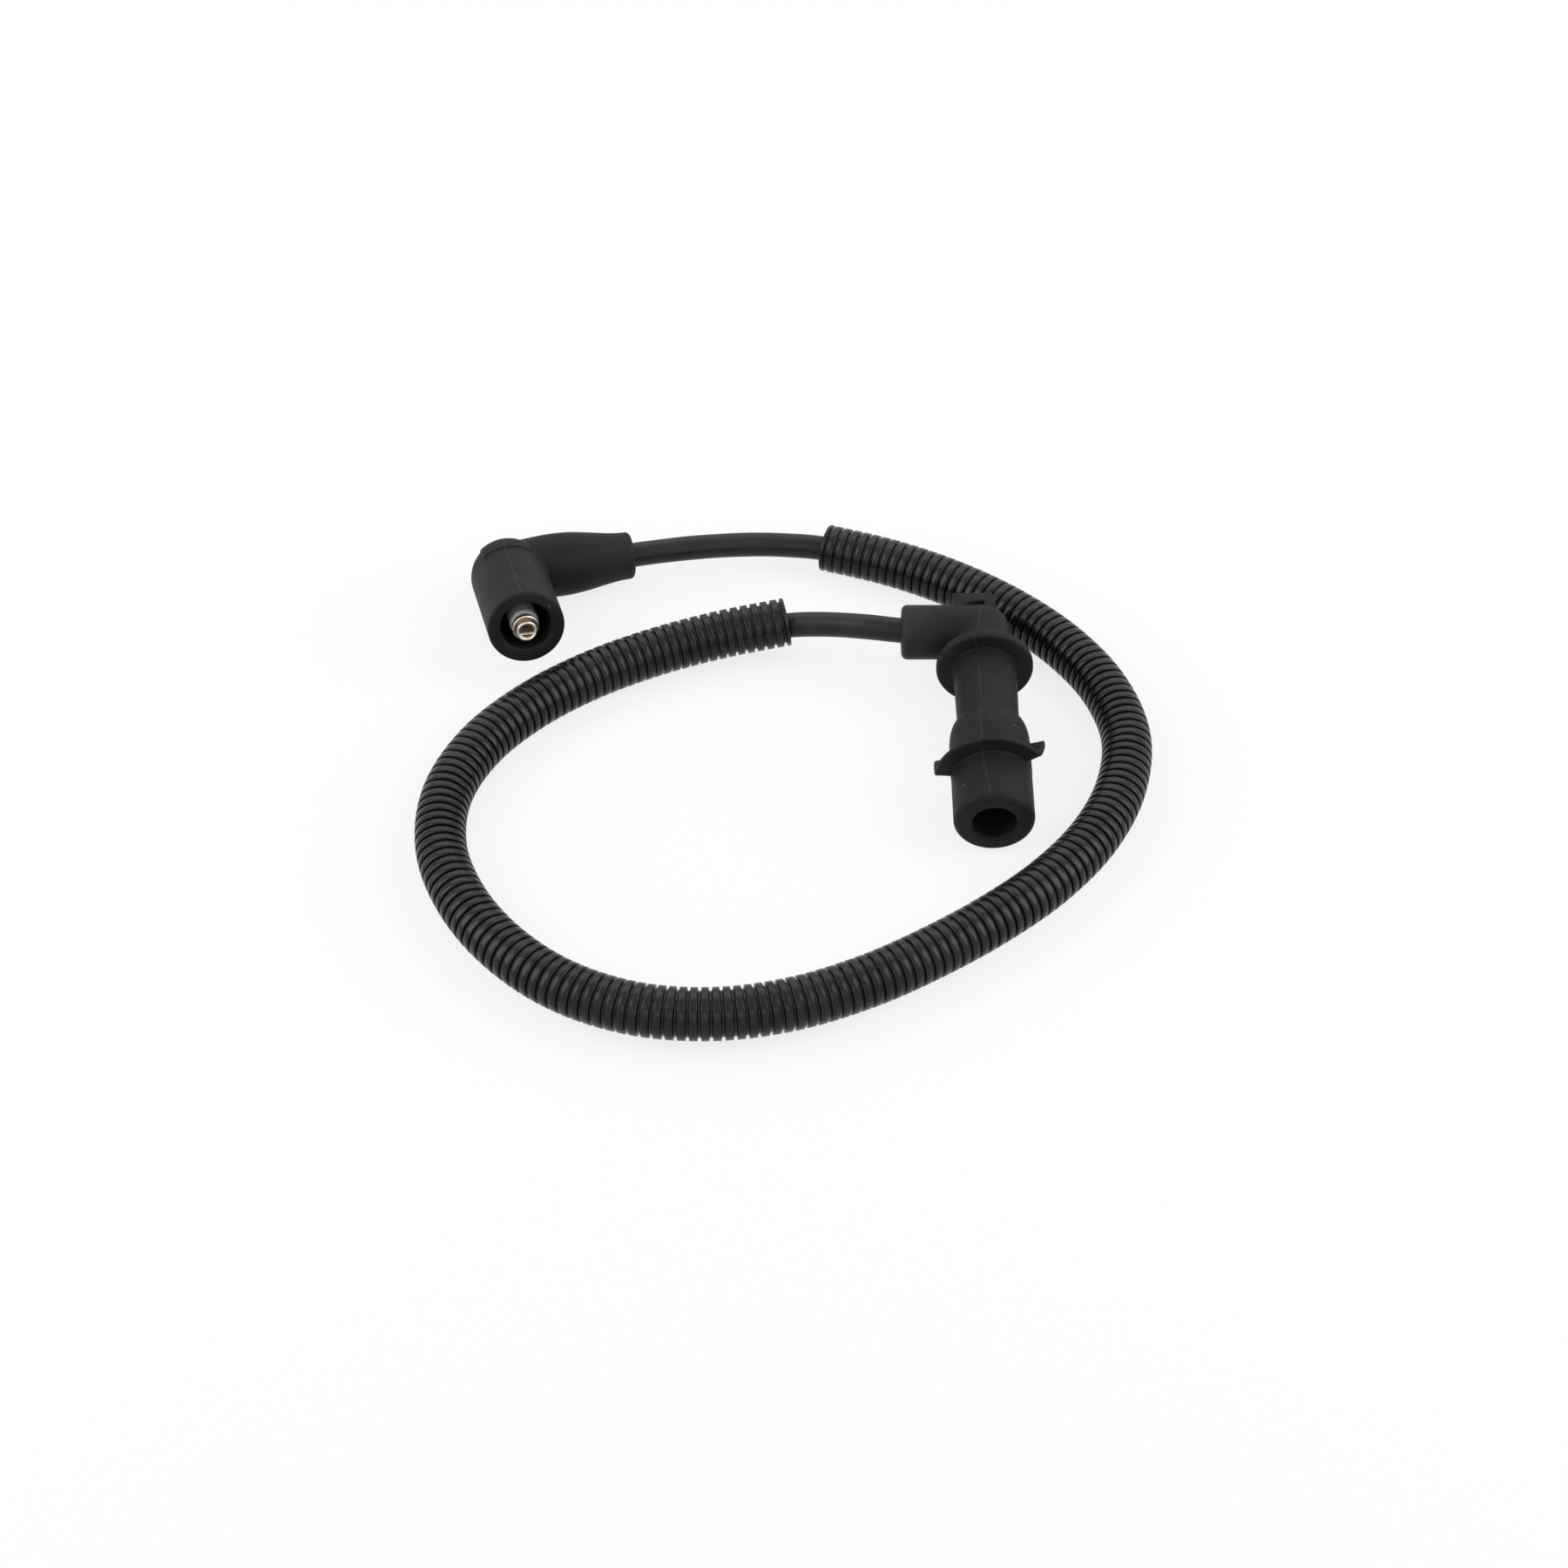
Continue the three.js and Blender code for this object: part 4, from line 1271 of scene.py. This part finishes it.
def plated(name, pieces, bright, tarnished, roughness_low):
    """Metal between two colours. Its bore's radius is measured round the leaned tube's axis."""
    shader = Shader(name)
    where = shader.place()
    x, y, z = shader.axes(where)
    lifted_z = z - y * math.tan(TUBE_DROOP)
    radius = (x * x + lifted_z * lifted_z).math("SQRT")
    bore = 1 - shader.step(radius, BORE_DULL, BORE_BRIGHT)
    stretched = shader.node("ShaderNodeMapping", {}, {"Vector": where, "Scale": (1.0, 0.15, 1.0)})
    drawn = shader.noise(stretched, 3000.0, 3.0, 0.6)
    tarnish = shader.noise(where, 500.0, 3.0)
    shader.paint(pieces, {
        "Base Color": shader.mix(shader.step(tarnish, 0.42, 0.68), bright, tarnished),
        "Metallic": 1.0,
        "Roughness": roughness_low + drawn * 0.16 + bore * 0.34,
        "Normal": shader.bump(drawn, 0.02 * mm, 0.5),
    })


def milky(name, piece):
    shader = Shader(name)
    where = shader.place()
    cloud = shader.noise(where, 300.0, 2.0)
    fine = shader.noise(where, 2500.0, 2.0)
    shader.paint([piece], {
        "Base Color": shader.mix(shader.step(cloud, 0.3, 0.7), *MILKY_COLOURS),
        "Roughness": 0.30 + fine * 0.14,
        "Normal": shader.bump(fine, 0.03 * mm, 0.4),
        "Subsurface Weight": 0.25,
        "Subsurface Scale": 1.5 * mm,
    })


hidden_metal = [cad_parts["plug_terminal"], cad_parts["plug_snap_ring"]]
plated("plated_contact", [terminal, *hidden_metal], *CONTACT_COLOURS, 0.12)
plated("spring_steel", [snap_ring], *SPRING_COLOURS, 0.14)
milky("insulator_plastic", sleeve)
print("materials:", ", ".join(sorted(m.name for m in bpy.data.materials)))

# %% [markdown]
# ## The studio
#
# Dark objects are shaped by what they reflect, so broad softboxes stand behind, left and right, and
# the one towards the camera is dim: that is what leaves a dark band down the middle of the conduit
# with soft grey on both sides. Area lights are the plainest way to make them, because their edges
# are soft by themselves.


# %% Softboxes round the bench
def softbox(name, place, width, height, power):
    """A rectangle of light that faces the middle of the bench."""
    light = bpy.data.lights.new(name, "AREA")
    light.shape = "RECTANGLE"
    light.size = width
    light.size_y = height
    light.energy = power
    lamp = bpy.data.objects.new(name, light)
    lamp.location = place
    lamp.rotation_euler = (-Vector(place)).to_track_quat("-Z", "Y").to_euler()
    bpy.context.scene.collection.objects.link(lamp)
    print(name, power, "W")


softbox("softbox_back", (0.0, 0.75, 0.85), 1.6, 0.7, 4.5)
softbox("softbox_left", (-0.95, -0.15, 0.65), 0.7, 1.1, 8.0)
softbox("softbox_right", (0.95, -0.10, 0.65), 0.7, 1.1, 8.0)
softbox("softbox_front", (0.0, -1.3, 1.0), 1.4, 0.5, 2.5)

# %% [markdown]
# ## A white background without more light
#
# The bench and the room are pure white in the picture. Lamps that are bright enough for that would
# bleach the object, so the white is only for rays that go to the camera, or get there by way of a
# reflection or through glass: for them the floor glows and the world has a strength of 1. Every
# other ray finds a plain pale floor and a dim room. The floor keeps a fifth of its real shading,
# and with it the object's faint shadow.


# %% Bench
FLOOR_SIZE = 8
FLOOR_GAP = 0.05 * mm
FLOOR_GLOW = 0.80


def background_ray(shader):
    """1 for a ray that shows the background in the picture, and 0 for one that lights the object."""
    kinds = ("Is Camera Ray", "Is Glossy Ray", "Is Transmission Ray")
    camera_ray, glossy_ray, clear_ray = [shader.node("ShaderNodeLightPath", output=k) for k in kinds]
    return camera_ray + glossy_ray + clear_ray


bpy.ops.mesh.primitive_plane_add(size=FLOOR_SIZE, location=(0, 0, -FLOOR_GAP))
floor = bpy.context.object
floor.name = "floor"
bench = Shader("white_floor")
shown = background_ray(bench)
paint = bench.node("ShaderNodeBsdfDiffuse", {}, {"Color": grey(0.86)})
glow = bench.node("ShaderNodeEmission", {}, {"Color": grey(1.0), "Strength": 1.0})
pale = bench.node("ShaderNodeMixShader", {}, {0: FLOOR_GLOW, 1: paint, 2: glow})
bench.output(bench.node("ShaderNodeMixShader", {}, {0: shown, 1: paint, 2: pale}))
floor.data.materials.append(bench.owner)
floor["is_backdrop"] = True
print("floor", FLOOR_SIZE, "m across")

# %% Room
ROOM_LIGHT = 0.36

world = bpy.data.worlds.new("studio")
bpy.context.scene.world = world
sky = Shader("studio", world)
room = sky.node("ShaderNodeBackground", {}, {"Color": grey(1.0), "Strength": ROOM_LIGHT})
backdrop = sky.node("ShaderNodeBackground", {}, {"Color": grey(1.0), "Strength": 1.0})
chosen = sky.node("ShaderNodeMixShader", {}, {0: background_ray(sky), 1: room, 2: backdrop})
sky.output(chosen, "ShaderNodeOutputWorld")

bpy.context.scene.view_settings.view_transform = "Standard"
print("room light", ROOM_LIGHT)

# %% Sizes, and the end
dressed_box = [list(corner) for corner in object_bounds()]
for name, corners in (("cad", cad_box), ("dressed", dressed_box)):
    print(name, [[round(v / mm, 2) for v in corner] for corner in corners])
